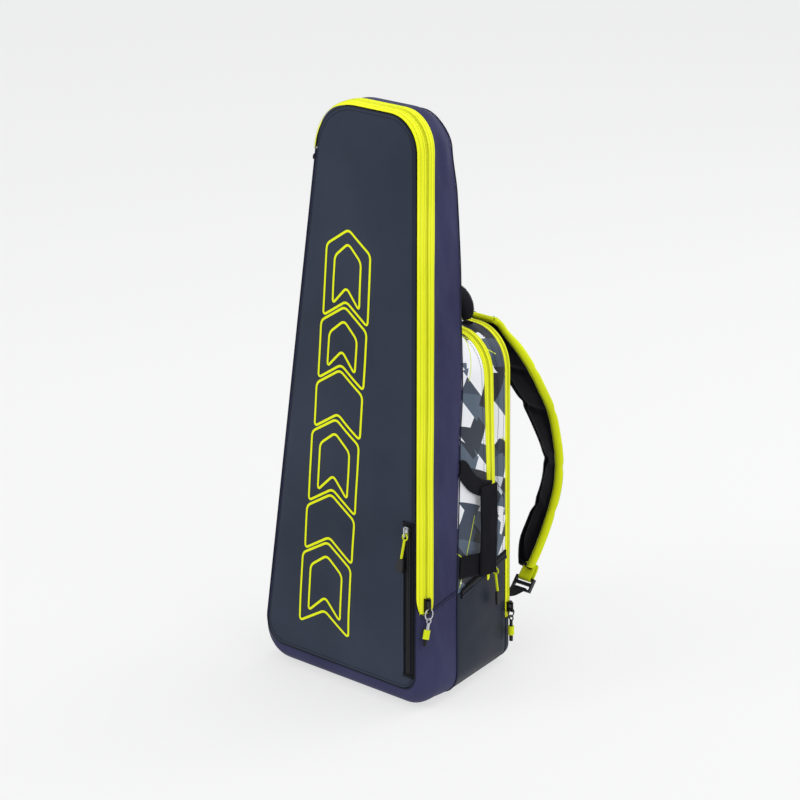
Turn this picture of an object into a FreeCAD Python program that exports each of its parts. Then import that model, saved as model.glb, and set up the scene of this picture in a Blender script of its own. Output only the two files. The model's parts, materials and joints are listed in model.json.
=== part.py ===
import FreeCAD, Part
import math
import os

# A tall racket bag. Millimetres, +Z up, the front faces -Y and the bag stands on Z = 0.
# The front face leans back. The racket compartment is a tapered box behind it, and the
# pack body is a shorter box behind that, which carries the straps.

V = FreeCAD.Vector

# Racket compartment
BAG_HEIGHT = 770.0          # front face, measured up the vertical
LEAN_DEG = 5.3              # lean of the front face, back from the vertical
HALF_WIDTH_BASE = 145.0     # at the floor
HALF_WIDTH_TOP = 88.0       # at the top of the bag
FRONT_Y = -115.0            # front face at the floor
RACKET_DEPTH = 77.0         # front face to divider
TOP_RADIUS = 52.0
BASE_RADIUS = 38.0
FRONT_ROUND = 32.0          # the gusset rolls under the front panel
WALL = 3.0                  # padded cloth wall
PANEL_WALL = 3.0            # front panel
DIVIDER_WALL = 3.0
BOARD_WALL = 3.0

# Racket zip: a band of two tapes with the coils in the middle
ZIP_BAND = 26.0
TAPE_WALL = 1.6
COIL_WIDTH = 3.0
COIL_RISE = 0.9
COIL_SEAT = 0.08            # coils and skins lie this far off the cloth
ZIP_START_HEIGHT = 132.0    # right side, where the slider parks
ZIP_END_HEIGHT = 698.0      # left side, where the zip stops
FOLD_START_HEIGHT = 262.0   # right end of the diagonal fold
FOLD_GAP = 1.2              # between the two parts of the front panel
SPLIT_GAP = 0.6             # between zip halves, and between panels that part
CLEAR = 0.3                 # running clearance
SLIDER_CLEAR = 0.6

# Pack body
PACK_HEIGHT = 465.0
PACK_HALF_WIDTH = 111.0     # at the back
PACK_BACK_Y = 103.0
REAR_ROUND = 20.0
BOTTOM_BAND = 12.0          # height of the bottom panel's edge
SOLE_TRIM = 0.2             # the body's foot is trimmed flat by this much
MAIN_ZIP_Y = 52.0
MAIN_ZIP_BAND = 16.0
REAR_ZIP_Y = 94.0
REAR_ZIP_FOOT = 62.0        # the back panel folds here
COMPARTMENT_Y = 81.0        # divider between main and laptop compartments
SLEEVE_Y = 95.0
PAD_WALL = 10.0
POCKET_FRONT_HEIGHT = 134.0  # side pocket's top edge at the divider
POCKET_RISE = 0.17           # slope of that edge, towards the back
POCKET_TAPE_UP = 4.0         # side pocket zip tape, above and below the edge
POCKET_TAPE_DOWN = 6.0
SLEEVE_WIDTH = 180.0
SLEEVE_HEIGHT = 250.0

# Front pocket zip
POCKET_ZIP_FOOT = 47.0
POCKET_ZIP_TOP = 249.0
POCKET_ZIP_WIDTH = 17.0
POCKET_ZIP_INSET = 15.0      # panel edge to the middle of the pocket zip
TAPE_PROUD = 0.8

# Handles and straps
TOP_HANDLE_Y = 81.0
TOP_HANDLE_SPAN = 62.0
TOP_HANDLE_RISE = 46.0
TOP_HANDLE_WIDTH = 28.0
TOP_HANDLE_THICK = 11.0
TAB_SLOPE = 0.72            # the sewn tabs' sides, so that the loop can rock on them
SIDE_HANDLE_WIDTH = 30.0
SIDE_HANDLE_THICK = 3.0
STRAP_THICK = 11.0
ANCHOR_RADIUS = 4.0
ANCHOR_HEIGHT = 16.0
WEB_WIDTH = 25.0
WEB_THICK = 1.8
BAIL_WIDTH = 2.0
BAIL_EYE = 5.3              # the pull's wire passes through the bail at this height
BAIL_BRIDGE = 7.6           # middle of the bail's bridge
PULL_WIRE = 0.9

SIN_LEAN = math.sin(math.radians(LEAN_DEG))
COS_LEAN = math.cos(math.radians(LEAN_DEG))
TAN_LEAN = SIN_LEAN / COS_LEAN
FACE_LENGTH = BAG_HEIGHT / COS_LEAN
TAPER = (HALF_WIDTH_BASE - HALF_WIDTH_TOP) / BAG_HEIGHT
FAR = 2000.0


def half_width(z):
    """Half the racket compartment's width at a height."""
    return HALF_WIDTH_BASE - TAPER * z


def front_y(z):
    """The front face's Y at a height."""
    return FRONT_Y + z * TAN_LEAN


def on_face(x, z, depth=0.0):
    """A point at a height, at a depth behind the front face."""
    return V(x, front_y(z) + depth, z)


# ---- outlines ----

def inset_corners(corners, inset):
    """Moves each side of a convex outline inwards. Corners run anticlockwise in (x, w)."""
    lines = []
    count = len(corners)
    for i in range(count):
        (x0, w0), (x1, w1) = corners[i], corners[(i + 1) % count]
        length = math.hypot(x1 - x0, w1 - w0)
        nx, nw = -(w1 - w0) / length, (x1 - x0) / length
        lines.append((x0 + nx * inset, w0 + nw * inset, (x1 - x0) / length, (w1 - w0) / length))
    moved = []
    for i in range(count):
        ax, aw, adx, adw = lines[i - 1]
        bx, bw, bdx, bdw = lines[i]
        along = ((bx - ax) * bdw - (bw - aw) * bdx) / (adx * bdw - adw * bdx)
        moved.append((ax + adx * along, aw + adw * along))
    return moved


def rounded_wire(corners, radii, place):
    """A closed wire of straight sides and tangent arcs. place turns (x, w) into a vector."""
    count = len(corners)
    spans = []
    for i in range(count):
        px, pw = corners[i - 1]
        cx, cw = corners[i]
        nx, nw = corners[(i + 1) % count]
        a = math.hypot(px - cx, pw - cw)
        b = math.hypot(nx - cx, nw - cw)
        ua = ((px - cx) / a, (pw - cw) / a)
        ub = ((nx - cx) / b, (nw - cw) / b)
        half = math.acos(ua[0] * ub[0] + ua[1] * ub[1]) / 2
        reach = radii[i] / math.tan(half)
        bis = (ua[0] + ub[0], ua[1] + ub[1])
        size = math.hypot(*bis)
        near = radii[i] / math.sin(half) - radii[i]
        start = (cx + ua[0] * reach, cw + ua[1] * reach)
        mid = (cx + bis[0] / size * near, cw + bis[1] / size * near)
        end = (cx + ub[0] * reach, cw + ub[1] * reach)
        spans.append((start, mid, end))
    edges = []
    for i in range(count):
        start, mid, end = spans[i]
        following = spans[(i + 1) % count][0]
        edges.append(Part.Arc(place(*start), place(*mid), place(*end)).toShape())
        edges.append(Part.LineSegment(place(*end), place(*following)).toShape())
    return Part.Wire(edges)


def racket_wire(inset, depth):
    """The racket compartment's outline, in a plane parallel to the front face."""
    corners = [(-HALF_WIDTH_BASE, 0), (HALF_WIDTH_BASE, 0),
               (HALF_WIDTH_TOP, FACE_LENGTH), (-HALF_WIDTH_TOP, FACE_LENGTH)]
    radii = [BASE_RADIUS - inset, BASE_RADIUS - inset, TOP_RADIUS - inset, TOP_RADIUS - inset]

    def place(x, w):
        return V(x, FRONT_Y + depth + w * SIN_LEAN, w * COS_LEAN)
    return rounded_wire(inset_corners(corners, inset), radii, place)


def racket_block(inset, start, end):
    """The racket compartment's solid between two depths."""
    return Part.Face(racket_wire(inset, start)).extrude(V(0, end - start, 0))


def front_round(radius):
    """What is cut away so that the low front edge rolls under."""
    centre_y = front_y(FRONT_ROUND) + FRONT_ROUND
    corner = Part.makeBox(FAR, 2 * FRONT_ROUND, 2 * FRONT_ROUND,
                          V(-FAR / 2, centre_y - 2 * FRONT_ROUND, -FRONT_ROUND))
    axis_at = V(-FAR / 2, centre_y, FRONT_ROUND)
    return corner.cut(Part.makeCylinder(radius, FAR, axis_at, V(1, 0, 0)))


def racket_ring(outer, inner, start, end):
    return racket_block(outer, start, end).cut(racket_block(inner, start - 1, end + 1))


def pack_wires(inset, back_y):
    """The pack body's outlines, at the divider and at the back."""
    length = PACK_HEIGHT / COS_LEAN
    top_half = half_width(PACK_HEIGHT)
    front = [(-HALF_WIDTH_BASE, -SOLE_TRIM), (HALF_WIDTH_BASE, -SOLE_TRIM),
             (top_half, length), (-top_half, length)]
    rear = [(-PACK_HALF_WIDTH, -SOLE_TRIM), (PACK_HALF_WIDTH, -SOLE_TRIM),
            (PACK_HALF_WIDTH, PACK_HEIGHT), (-PACK_HALF_WIDTH, PACK_HEIGHT)]
    radii = [BASE_RADIUS - inset, BASE_RADIUS - inset, TOP_RADIUS - inset, TOP_RADIUS - inset]

    def place_front(x, w):
        return V(x, FRONT_Y + RACKET_DEPTH + w * SIN_LEAN, w * COS_LEAN)

    def place_rear(x, w):
        return V(x, back_y, w)
    return (rounded_wire(inset_corners(front, inset), radii, place_front),
            rounded_wire(inset_corners(rear, inset), radii, place_rear))


def pack_block(inset):
    """The pack body's solid, with its low rear edge rounded."""
    body = Part.makeLoft(list(pack_wires(inset, PACK_BACK_Y)), True, True)
    centre_y = PACK_BACK_Y - REAR_ROUND
    corner = Part.makeBox(FAR, 2 * REAR_ROUND, 2 * REAR_ROUND, V(-FAR / 2, centre_y, -REAR_ROUND))
    barrel = Part.makeCylinder(REAR_ROUND - inset, FAR, V(-FAR / 2, centre_y, REAR_ROUND), V(1, 0, 0))
    return body.cut(corner.cut(barrel)).cut(below(0))


def pack_ring(outer, inner):
    return pack_block(outer).cut(pack_block(inner))


def side_prism(outline, right=True, low_x=0.0):
    """A prism over an outline of (y, z) points, on one side of the bag."""
    points = [V(low_x, y, z) for y, z in outline]
    prism = Part.Face(Part.makePolygon(points + points[:1])).extrude(V(FAR, 0, 0))
    if right:
        return prism
    return prism.mirror(V(0, 0, 0), V(1, 0, 0))


def slab(y0, y1):
    return Part.makeBox(FAR, y1 - y0, FAR, V(-FAR / 2, y0, -FAR / 2))


def box_between(xs, ys, zs):
    return Part.makeBox(xs[1] - xs[0], ys[1] - ys[0], zs[1] - zs[0], V(xs[0], ys[0], zs[0]))


def above(z, both=True):
    low_x = -FAR / 2 if both else 0
    return Part.makeBox(FAR, FAR, FAR, V(low_x, -FAR / 2, z))


def below(z):
    return Part.makeBox(FAR, FAR, FAR, V(-FAR / 2, -FAR / 2, z - FAR))


def save(name, shape):
    solids = shape.Solids
    out = solids[0] if len(solids) == 1 else Part.makeCompound(solids)
    out.exportStep("parts/" + name + ".step")


# ---- the diagonal fold ----

FOLD_RIGHT = (half_width(FOLD_START_HEIGHT), FOLD_START_HEIGHT)
FOLD_LEFT = (-half_width(ZIP_END_HEIGHT), ZIP_END_HEIGHT)


def flap_side(gap):
    """All that lies above the diagonal fold, less a gap."""
    dx = FOLD_LEFT[0] - FOLD_RIGHT[0]
    dz = FOLD_LEFT[1] - FOLD_RIGHT[1]
    length = math.hypot(dx, dz)
    ux, uz = dx / length, dz / length
    nx, nz = uz, -ux
    x0 = FOLD_RIGHT[0] + nx * gap
    z0 = FOLD_RIGHT[1] + nz * gap
    corners = [(x0 - ux * FAR, z0 - uz * FAR), (x0 + ux * FAR, z0 + uz * FAR),
               (x0 + (ux + nx) * FAR, z0 + (uz + nz) * FAR), (x0 + (nx - ux) * FAR, z0 + (nz - uz) * FAR)]
    points = [V(x, -FAR / 2, z) for x, z in corners]
    return Part.Face(Part.makePolygon(points + points[:1])).extrude(V(0, FAR, 0))


# ---- racket compartment ----

def front_panels():
    panel = racket_block(0, 0, PANEL_WALL).common(above(FRONT_ROUND))
    pocket = pocket_zip_block(0.0, POCKET_ZIP_WIDTH - 7.0, POCKET_ZIP_FOOT + 4, POCKET_ZIP_TOP - 4,
                              -1.0, PANEL_WALL + 1.0)
    save("front_panel_lower", panel.cut(flap_side(-FOLD_GAP / 2)).cut(pocket))
    save("front_panel_flap", panel.common(flap_side(FOLD_GAP / 2)))


def left_zone(z):
    """The left half of space above a height."""
    return Part.makeBox(FAR, FAR, FAR, V(-FAR, -FAR / 2, z))


def racket_walls():
    """The navy gusset behind the zip band, in four pieces, and the panel that closes the foot."""
    back = RACKET_DEPTH - DIVIDER_WALL
    corner = BAG_HEIGHT - TOP_RADIUS
    band = racket_ring(0, WALL, ZIP_BAND, back)
    bare = racket_ring(0, WALL, PANEL_WALL, back)
    right_half = above(ZIP_START_HEIGHT, both=False)
    save("racket_gusset_right", band.common(right_half).cut(above(corner)))
    save("racket_gusset_top", band.common(above(corner)))
    left_side = left_zone(ZIP_START_HEIGHT)
    left_low = bare.common(left_side).cut(above(ZIP_END_HEIGHT))
    left_high = band.common(left_side).common(above(ZIP_END_HEIGHT)).cut(above(corner))
    save("racket_gusset_left", left_low.fuse(left_high))
    outer = racket_block(0, 0, back).cut(front_round(FRONT_ROUND))
    inner = racket_block(WALL, WALL, back + 1).cut(front_round(FRONT_ROUND - WALL))
    face = racket_block(-1, -1, PANEL_WALL).common(above(FRONT_ROUND))
    save("racket_gusset_base", outer.cut(inner).cut(face).common(below(ZIP_START_HEIGHT)))
    save("divider_panel", racket_block(0, back, RACKET_DEPTH))
    floor = racket_block(WALL + CLEAR, FRONT_ROUND + CLEAR, back - CLEAR)
    save("base_board", floor.common(below(WALL + CLEAR + BOARD_WALL)).common(
        Part.makeBox(2 * (HALF_WIDTH_BASE - BASE_RADIUS), FAR, FAR,
                     V(BASE_RADIUS - HALF_WIDTH_BASE, -FAR / 2, -FAR / 2))))


def zip_route():
    """The stretch of the outline that the racket zip follows."""
    return above(ZIP_START_HEIGHT).cut(
        Part.makeBox(FAR, FAR, ZIP_END_HEIGHT + FAR, V(-FAR, -FAR / 2, -FAR)))


def racket_zip():
    middle = (ZIP_BAND + PANEL_WALL) / 2
    route = zip_route()
    body_half = racket_ring(0, TAPE_WALL, middle + SPLIT_GAP / 2, ZIP_BAND).common(route)
    panel_half = racket_ring(0, TAPE_WALL, PANEL_WALL, middle - SPLIT_GAP / 2).common(route)
    save("racket_zip_tape_body", body_half)
    save("racket_zip_tape_flap", panel_half.common(flap_side(FOLD_GAP / 2)))
    save("racket_zip_tape_lower", panel_half.cut(flap_side(-FOLD_GAP / 2)))
    coil = COIL_WIDTH / 2
    body_coil = racket_ring(-COIL_RISE, -COIL_SEAT, middle + SPLIT_GAP / 2, middle + coil).common(route)
    flap_coil = racket_ring(-COIL_RISE, -COIL_SEAT, middle - coil, middle - SPLIT_GAP / 2).common(route)
    save("racket_zip_coil_body", body_coil)
    save("racket_zip_coil_flap", flap_coil.common(flap_side(FOLD_GAP / 2)))


# ---- sliders and pulls ----

def box_at(centre, along, across, out, size):
    """A box on three perpendicular directions. size is its length along each."""
    base = Part.makeBox(size[0], size[1], size[2], V(-size[0] / 2, -size[1] / 2, -size[2] / 2))
    turn = FreeCAD.Matrix(along.x, across.x, out.x, centre.x,
                          along.y, across.y, out.y, centre.y,
                          along.z, across.z, out.z, centre.z, 0, 0, 0, 1)
    return base.transformGeometry(turn)


def slider(seat, along, out, length, width):
    """A zip slider: a body on its tapes, and a bail that the pull hangs from."""
    across = out.cross(along)
    body = box_at(seat + out * 2.0, along, across, out, (length, width, 3.6))
    post = box_at(seat + out * 5.2 + along * (length / 2 - 2), along, across, out, (3, BAIL_WIDTH, 3.4))
    bridge = box_at(seat + out * BAIL_BRIDGE, along, across, out, (length, BAIL_WIDTH, 1.6))
    foot = box_at(seat + out * 5.2 - along * (length / 2 - 1), along, across, out, (2, BAIL_WIDTH, 3.4))
    return body.fuse(post).fuse(bridge).fuse(foot)


def torus(centre, normal, radius):
    return Part.makeTorus(radius, PULL_WIRE, centre, normal)


def rod(start, end, radius):
    return Part.makeCylinder(radius, (end - start).Length, start, end - start)


def leaning(down, across, degrees):
    """A hanging direction turned sideways in its own plane."""
    angle = math.radians(degrees)
    return (down * math.cos(angle) + across * math.sin(angle)).normalize()


def hanging_pull(name, eye, out, down, ring_radius, lean):
    """A split ring through the slider's bail, a snap hook, a cord sleeve and its tip."""
    save(name + "_pull_ring", torus(eye + down * ring_radius, out, ring_radius))
    top = eye + down * (2 * ring_radius)
    hang = leaning(down, out.cross(down), lean)
    side = out.cross(hang)
    hook_radius = 3.4
    link = hook_radius - 2 * PULL_WIRE - CLEAR
    hook = torus(top + hang * link, side, hook_radius)
    neck = rod(top + hang * (link + hook_radius), top + hang * 13.0, 2.2)
    save(name + "_pull_hook", hook.fuse(neck))
    sleeve_top = top + hang * (13.0 + CLEAR)
    save(name + "_pull_sleeve", rod(sleeve_top, sleeve_top + hang * 12, 4.2))
    save(name + "_pull_tip", rod(sleeve_top + hang * (12 + CLEAR), sleeve_top + hang * 21, 2.6))
    return top


def cord_pull(name, eye, out, down, length, width):
    """A cord loop through the slider's bail, ending in a flared rubber tab."""
    loop_radius = 4.0
    low = eye + down * (2 * loop_radius)
    end = eye + down * length
    save(name + "_pull_cord", torus(eye + down * loop_radius, out, loop_radius).fuse(rod(low, end, 1.7)))
    pull_tab(name, end, out, down, width)


def pull_tab(name, end, out, down, width):
    """A rubber tab that flares away from the cord's end."""
    across = out.cross(down)
    corners = ((-1, -1), (1, -1), (1, 1), (-1, 1))
    wires = []
    for reach, half in ((CLEAR, width * 0.3), (18.0, width * 0.5)):
        centre = end + down * reach
        points = [centre + across * sx * half + out * so * 1.6 for sx, so in corners]
        wires.append(Part.makePolygon(points + points[:1]))
    save(name + "_pull_tab", Part.makeLoft(wires, True, True))


def note(name, along, out, *pivots):
    """Prints where a slider runs and what its pull turns about."""
    across = out.cross(along)
    for label, vector in [("along", along), ("across", across)] + [("pivot", p) for p in pivots]:
        print(name, label, [round(c, 4) for c in vector])


def racket_slider_parts():
    z = ZIP_START_HEIGHT + 10.0
    seat = on_face(half_width(z), z, (ZIP_BAND + PANEL_WALL) / 2)
    along = V(-TAPER, TAN_LEAN, 1).normalize()
    out = V(1, 0, TAPER).normalize()
    lift = COIL_RISE + SLIDER_CLEAR
    place = seat + out * lift
    save("racket_slider", slider(place, along, out, 18, 9))
    eye = place + out * BAIL_EYE - along * 5.0
    end = hanging_pull("racket", eye, out, along * -1, 7.0, -14)
    note("racket", along, out, eye, end)


# ---- front pocket ----

def pocket_line(z):
    return half_width(z) - POCKET_ZIP_INSET


def pocket_zip_block(shift, width, low, high, front, back):
    """A strip along the right edge of the front panel, between two depths."""
    points = []
    for x_side, z in ((-1, low), (1, low), (1, high), (-1, high)):
        points.append(on_face(pocket_line(z) + shift + x_side * width / 2, z, front))
    return Part.Face(Part.makePolygon(points + points[:1])).extrude(V(0, back - front, 0))


def front_pocket():
    gap = 3.4
    tape = pocket_zip_block(0, POCKET_ZIP_WIDTH, POCKET_ZIP_FOOT, POCKET_ZIP_TOP, -TAPE_PROUD, -0.05)
    slot = pocket_zip_block(0, gap, POCKET_ZIP_FOOT + 6, POCKET_ZIP_TOP - 6, -TAPE_PROUD - 1, 1)
    save("pocket_zip_tape", tape.cut(slot))
    coil = pocket_zip_block(0, gap - 0.6, POCKET_ZIP_FOOT + 6.3, POCKET_ZIP_TOP - 6.3, -TAPE_PROUD - 0.5, 0.2)
    save("pocket_zip_coil", coil)
    outer = pocket_zip_block(-42, 100, POCKET_ZIP_FOOT - 8, POCKET_ZIP_TOP, PANEL_WALL + CLEAR, PANEL_WALL + 9)
    inner = pocket_zip_block(-42, 96, POCKET_ZIP_FOOT - 6, POCKET_ZIP_TOP - 2, PANEL_WALL + 2, PANEL_WALL + 7)
    mouth = pocket_zip_block(0, POCKET_ZIP_WIDTH - 7, POCKET_ZIP_FOOT + 4, POCKET_ZIP_TOP - 4, 0, PANEL_WALL + 4)
    save("pocket_liner", outer.cut(inner).cut(mouth))
    z = POCKET_ZIP_TOP - 10
    along = V(-TAPER, TAN_LEAN, 1).normalize()
    out = V(0, -1, TAN_LEAN).normalize()
    place = on_face(pocket_line(z), z) + out * (TAPE_PROUD + 0.5 + CLEAR)
    save("pocket_slider", slider(place, along, out, 13, 7))
    eye = place + out * BAIL_EYE - along * 2.8
    cord_pull("pocket", eye, out, leaning(along * -1, V(-1, 0, 0), 12), 34, 13)
    note("pocket", along, out, eye)


# ---- pack body ----

def pocket_edge(y):
    """Height of the side pocket's top edge."""
    return POCKET_FRONT_HEIGHT + POCKET_RISE * (y + 40.0)


def zone(y0, y1, lift=0.0):
    """Both sides and the top of the pack body, above the side pockets, between two planes."""
    y_low, y_high = -80.0, 120.0
    edge = [(y_low, pocket_edge(y_low) + lift), (y_high, pocket_edge(y_high) + lift),
            (y_high, FAR), (y_low, FAR)]
    both = side_prism(edge, low_x=-FAR / 2)
    return both.common(slab(y0, y1))


def pack_walls():
    ring = pack_ring(0, WALL)
    thin = pack_ring(0, TAPE_WALL)
    start = FRONT_Y
    main_end = MAIN_ZIP_Y + MAIN_ZIP_BAND
    save("pack_front_shell", ring.common(zone(start, MAIN_ZIP_Y)))
    save("pack_middle_gusset", ring.common(zone(main_end, REAR_ZIP_Y)))
    middle = MAIN_ZIP_Y + MAIN_ZIP_BAND / 2
    tapes = thin.common(zone(MAIN_ZIP_Y, main_end)).cut(slab(middle - 0.2, middle + 0.2))
    save("main_zip_tape", tapes)
    rise = pack_ring(-COIL_RISE, -COIL_SEAT)
    coil = COIL_WIDTH / 2
    main_coil = rise.common(zone(middle - coil, middle + coil, POCKET_TAPE_UP + CLEAR))
    side_low = ring.common(side_prism([(start, BOTTOM_BAND), (REAR_ZIP_Y, BOTTOM_BAND),
                                       (REAR_ZIP_Y, pocket_edge(REAR_ZIP_Y)), (start, pocket_edge(start))],
                                      low_x=-FAR / 2))
    half = Part.makeBox(FAR, FAR, FAR, V(0, -FAR / 2, -FAR / 2))
    save("pack_side_panel_right", side_low.common(half))
    save("pack_side_panel_left", side_low.cut(half))
    outer = pack_block(0)
    hollow = pack_block(WALL).common(slab(start, PACK_BACK_Y - WALL))
    shell = outer.cut(hollow)
    bottom = shell.common(below(BOTTOM_BAND))
    rear_foot = shell.common(slab(REAR_ZIP_Y, PACK_BACK_Y + 1)).common(below(REAR_ZIP_FOOT))
    save("pack_bottom", bottom.fuse(rear_foot.cut(below(BOTTOM_BAND - 1))).removeSplitter())
    rear_middle = (REAR_ZIP_Y + PACK_BACK_Y) / 2
    rear_zone = above(REAR_ZIP_FOOT + SPLIT_GAP)
    save("rear_zip_tape_body", thin.common(rear_zone).common(slab(REAR_ZIP_Y, rear_middle - SPLIT_GAP / 2)))
    save("rear_zip_tape_panel", thin.common(rear_zone).common(slab(rear_middle + SPLIT_GAP / 2, PACK_BACK_Y)))
    rear_coil = rise.common(rear_zone).common(slab(rear_middle - coil, rear_middle - SPLIT_GAP / 2))
    save("pack_zip_coils", Part.makeCompound([main_coil, rear_coil]))
    inside = pack_block(WALL + CLEAR)
    save("compartment_divider", inside.common(slab(COMPARTMENT_Y, COMPARTMENT_Y + 2)))
    sleeve = inside.common(slab(COMPARTMENT_Y + 2 + CLEAR, SLEEVE_Y))
    hollow = box_between((-SLEEVE_WIDTH / 2 + 3, SLEEVE_WIDTH / 2 - 3),
                         (COMPARTMENT_Y + 4, SLEEVE_Y - 2), (WALL + 5, FAR))
    limits = box_between((-SLEEVE_WIDTH / 2, SLEEVE_WIDTH / 2), (0, FAR), (WALL + CLEAR, SLEEVE_HEIGHT))
    save("laptop_sleeve", sleeve.common(limits).cut(hollow))


def back_panel():
    """The board and foam pads that lie against the wearer. They fold back with the rear zip."""
    corners = [(-PACK_HALF_WIDTH, REAR_ZIP_FOOT + SPLIT_GAP), (PACK_HALF_WIDTH, REAR_ZIP_FOOT + SPLIT_GAP),
               (PACK_HALF_WIDTH, PACK_HEIGHT), (-PACK_HALF_WIDTH, PACK_HEIGHT)]

    def place(x, z):
        return V(x, PACK_BACK_Y, z)
    board = Part.Face(rounded_wire(corners, [6, 6, TOP_RADIUS, TOP_RADIUS], place)).extrude(V(0, BOARD_WALL, 0))
    save("back_board", board)
    pad_y = PACK_BACK_Y + BOARD_WALL
    pads = []
    for side in (-1, 1):
        outline = [(side * 14, 110), (side * 88, 110), (side * 88, 418), (side * 14, 418)]
        if side < 0:
            outline.reverse()
        wire = rounded_wire(outline, [22, 22, 22, 22], lambda x, z: V(x, pad_y, z))
        pads.append(Part.Face(wire).extrude(V(0, PAD_WALL, 0)))
    save("back_pads", Part.makeCompound(pads))


def side_x(y, z):
    """The pack body's side, on its flat stretch."""
    seam_y = front_y(z) + RACKET_DEPTH
    share = (y - seam_y) / (PACK_BACK_Y - seam_y)
    return half_width(z) + (PACK_HALF_WIDTH - half_width(z)) * share


def side_pocket():
    """The slanted zip along the top edge of the right side pocket."""
    low, high = -POCKET_TAPE_DOWN, POCKET_TAPE_UP
    y0, y1 = -18.0, REAR_ZIP_Y - 1
    skin = pack_ring(-TAPE_PROUD, -COIL_SEAT)
    strip = side_prism([(y0, pocket_edge(y0) + low), (y1, pocket_edge(y1) + low),
                        (y1, pocket_edge(y1) + high), (y0, pocket_edge(y0) + high)])
    save("side_pocket_zip", skin.common(strip))
    y = 50.0
    z = pocket_edge(y) - 1
    rise = V(side_x(y + 1, z + POCKET_RISE) - side_x(y, z), 1, POCKET_RISE).normalize()
    up = V(side_x(y, z + 1) - side_x(y, z), 0, 1)
    out = rise.cross(up).normalize()
    place = V(side_x(y, z), y, z) + out * (TAPE_PROUD + CLEAR)
    save("side_slider", slider(place, rise, out, 13, 7))
    side_pull(place - rise * 0.5, rise, out)
    note("side", rise, out, place + out * BAIL_BRIDGE)


def side_pull(seat, rise, out):
    """The side pocket's pull hangs square to a slider that runs almost level."""
    down = rise.cross(out)
    radius = 4.8
    drop = 1.0
    middle = seat + out * (BAIL_EYE + math.sqrt(radius ** 2 - drop ** 2)) + down * drop
    low = middle + down * radius
    cord = rod(low, low + down * 26, 1.7)
    save("side_pull_cord", torus(middle, rise, radius).fuse(cord))
    pull_tab("side", low + down * 26, out, down, 13)


def main_and_rear_sliders():
    middle = MAIN_ZIP_Y + MAIN_ZIP_BAND / 2
    z = pocket_edge(middle) + 14
    x = -side_x(middle, z)
    along = V(0, 0, 1)
    out = V(-1, 0, 0)
    place = V(x, middle, z) + out * (COIL_RISE + SLIDER_CLEAR)
    save("main_slider", slider(place, along, out, 13, 8))
    eye = place + out * BAIL_EYE - along * 2.8
    loop_radius = 4.0
    cord = rod(eye - along * (2 * loop_radius), eye - along * 34, 1.7)
    save("main_pull", torus(eye - along * loop_radius, out, loop_radius).fuse(cord))
    note("main", along, out, eye)
    rear_middle = (REAR_ZIP_Y + PACK_BACK_Y) / 2
    z = REAR_ZIP_FOOT + 16
    place = V(side_x(rear_middle, z), rear_middle, z) + V(1, 0, 0) * (COIL_RISE + SLIDER_CLEAR)
    save("rear_slider", slider(place, along, V(1, 0, 0), 14, 8))
    eye = place + V(BAIL_EYE, 0, -3.5)
    end = hanging_pull("rear", eye, V(1, 0, 0), V(0, 0, -1), 5.5, 0)
    note("rear", along, V(1, 0, 0), eye, end)


# ---- handles ----

def top_handle():
    """A padded loop that stands on the middle gusset, and the sewn tabs that it springs from."""
    pivot = PACK_HEIGHT + 5.0
    outer_rise = pivot + TOP_HANDLE_RISE
    span, thick = TOP_HANDLE_SPAN, TOP_HANDLE_THICK

    def arch(inset):
        outline = [(-span + inset, pivot + 1 - 30), (span - inset, pivot + 1 - 30),
                   (span - inset, outer_rise - inset), (-span + inset, outer_rise - inset)]
        radii = [1, 1, 34 - inset, 34 - inset]
        wire = rounded_wire(outline, radii, lambda x, z: V(x, TOP_HANDLE_Y - TOP_HANDLE_WIDTH / 2, z))
        return Part.Face(wire).extrude(V(0, TOP_HANDLE_WIDTH, 0))
    loop = arch(0).cut(arch(thick)).common(above(pivot + 1))
    waist = TOP_HANDLE_WIDTH / 2 - 6
    for side in (-1, 1):
        y = TOP_HANDLE_Y + side * TOP_HANDLE_WIDTH / 2
        tri = [V(-FAR / 2, y + side, pivot - 1), V(-FAR / 2, TOP_HANDLE_Y + side * waist, pivot - 1),
               V(-FAR / 2, y + side, pivot + 16)]
        loop = loop.cut(Part.Face(Part.makePolygon(tri + tri[:1])).extrude(V(FAR, 0, 0)))
    save("top_handle", loop)
    tabs = []
    for side in (-1, 1):
        x = side * (span - thick / 2)
        foot = pivot - TAB_SLOPE * waist
        ridge = [V(x - thick / 2, TOP_HANDLE_Y - waist, foot), V(x - thick / 2, TOP_HANDLE_Y, pivot + 0.6),
                 V(x - thick / 2, TOP_HANDLE_Y + waist, foot)]
        tab = Part.Face(Part.makePolygon(ridge + ridge[:1])).extrude(V(thick, 0, 0))
        tabs.append(tab.cut(pack_block(0)))
    save("top_handle_tabs", Part.makeCompound(tabs))


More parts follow.
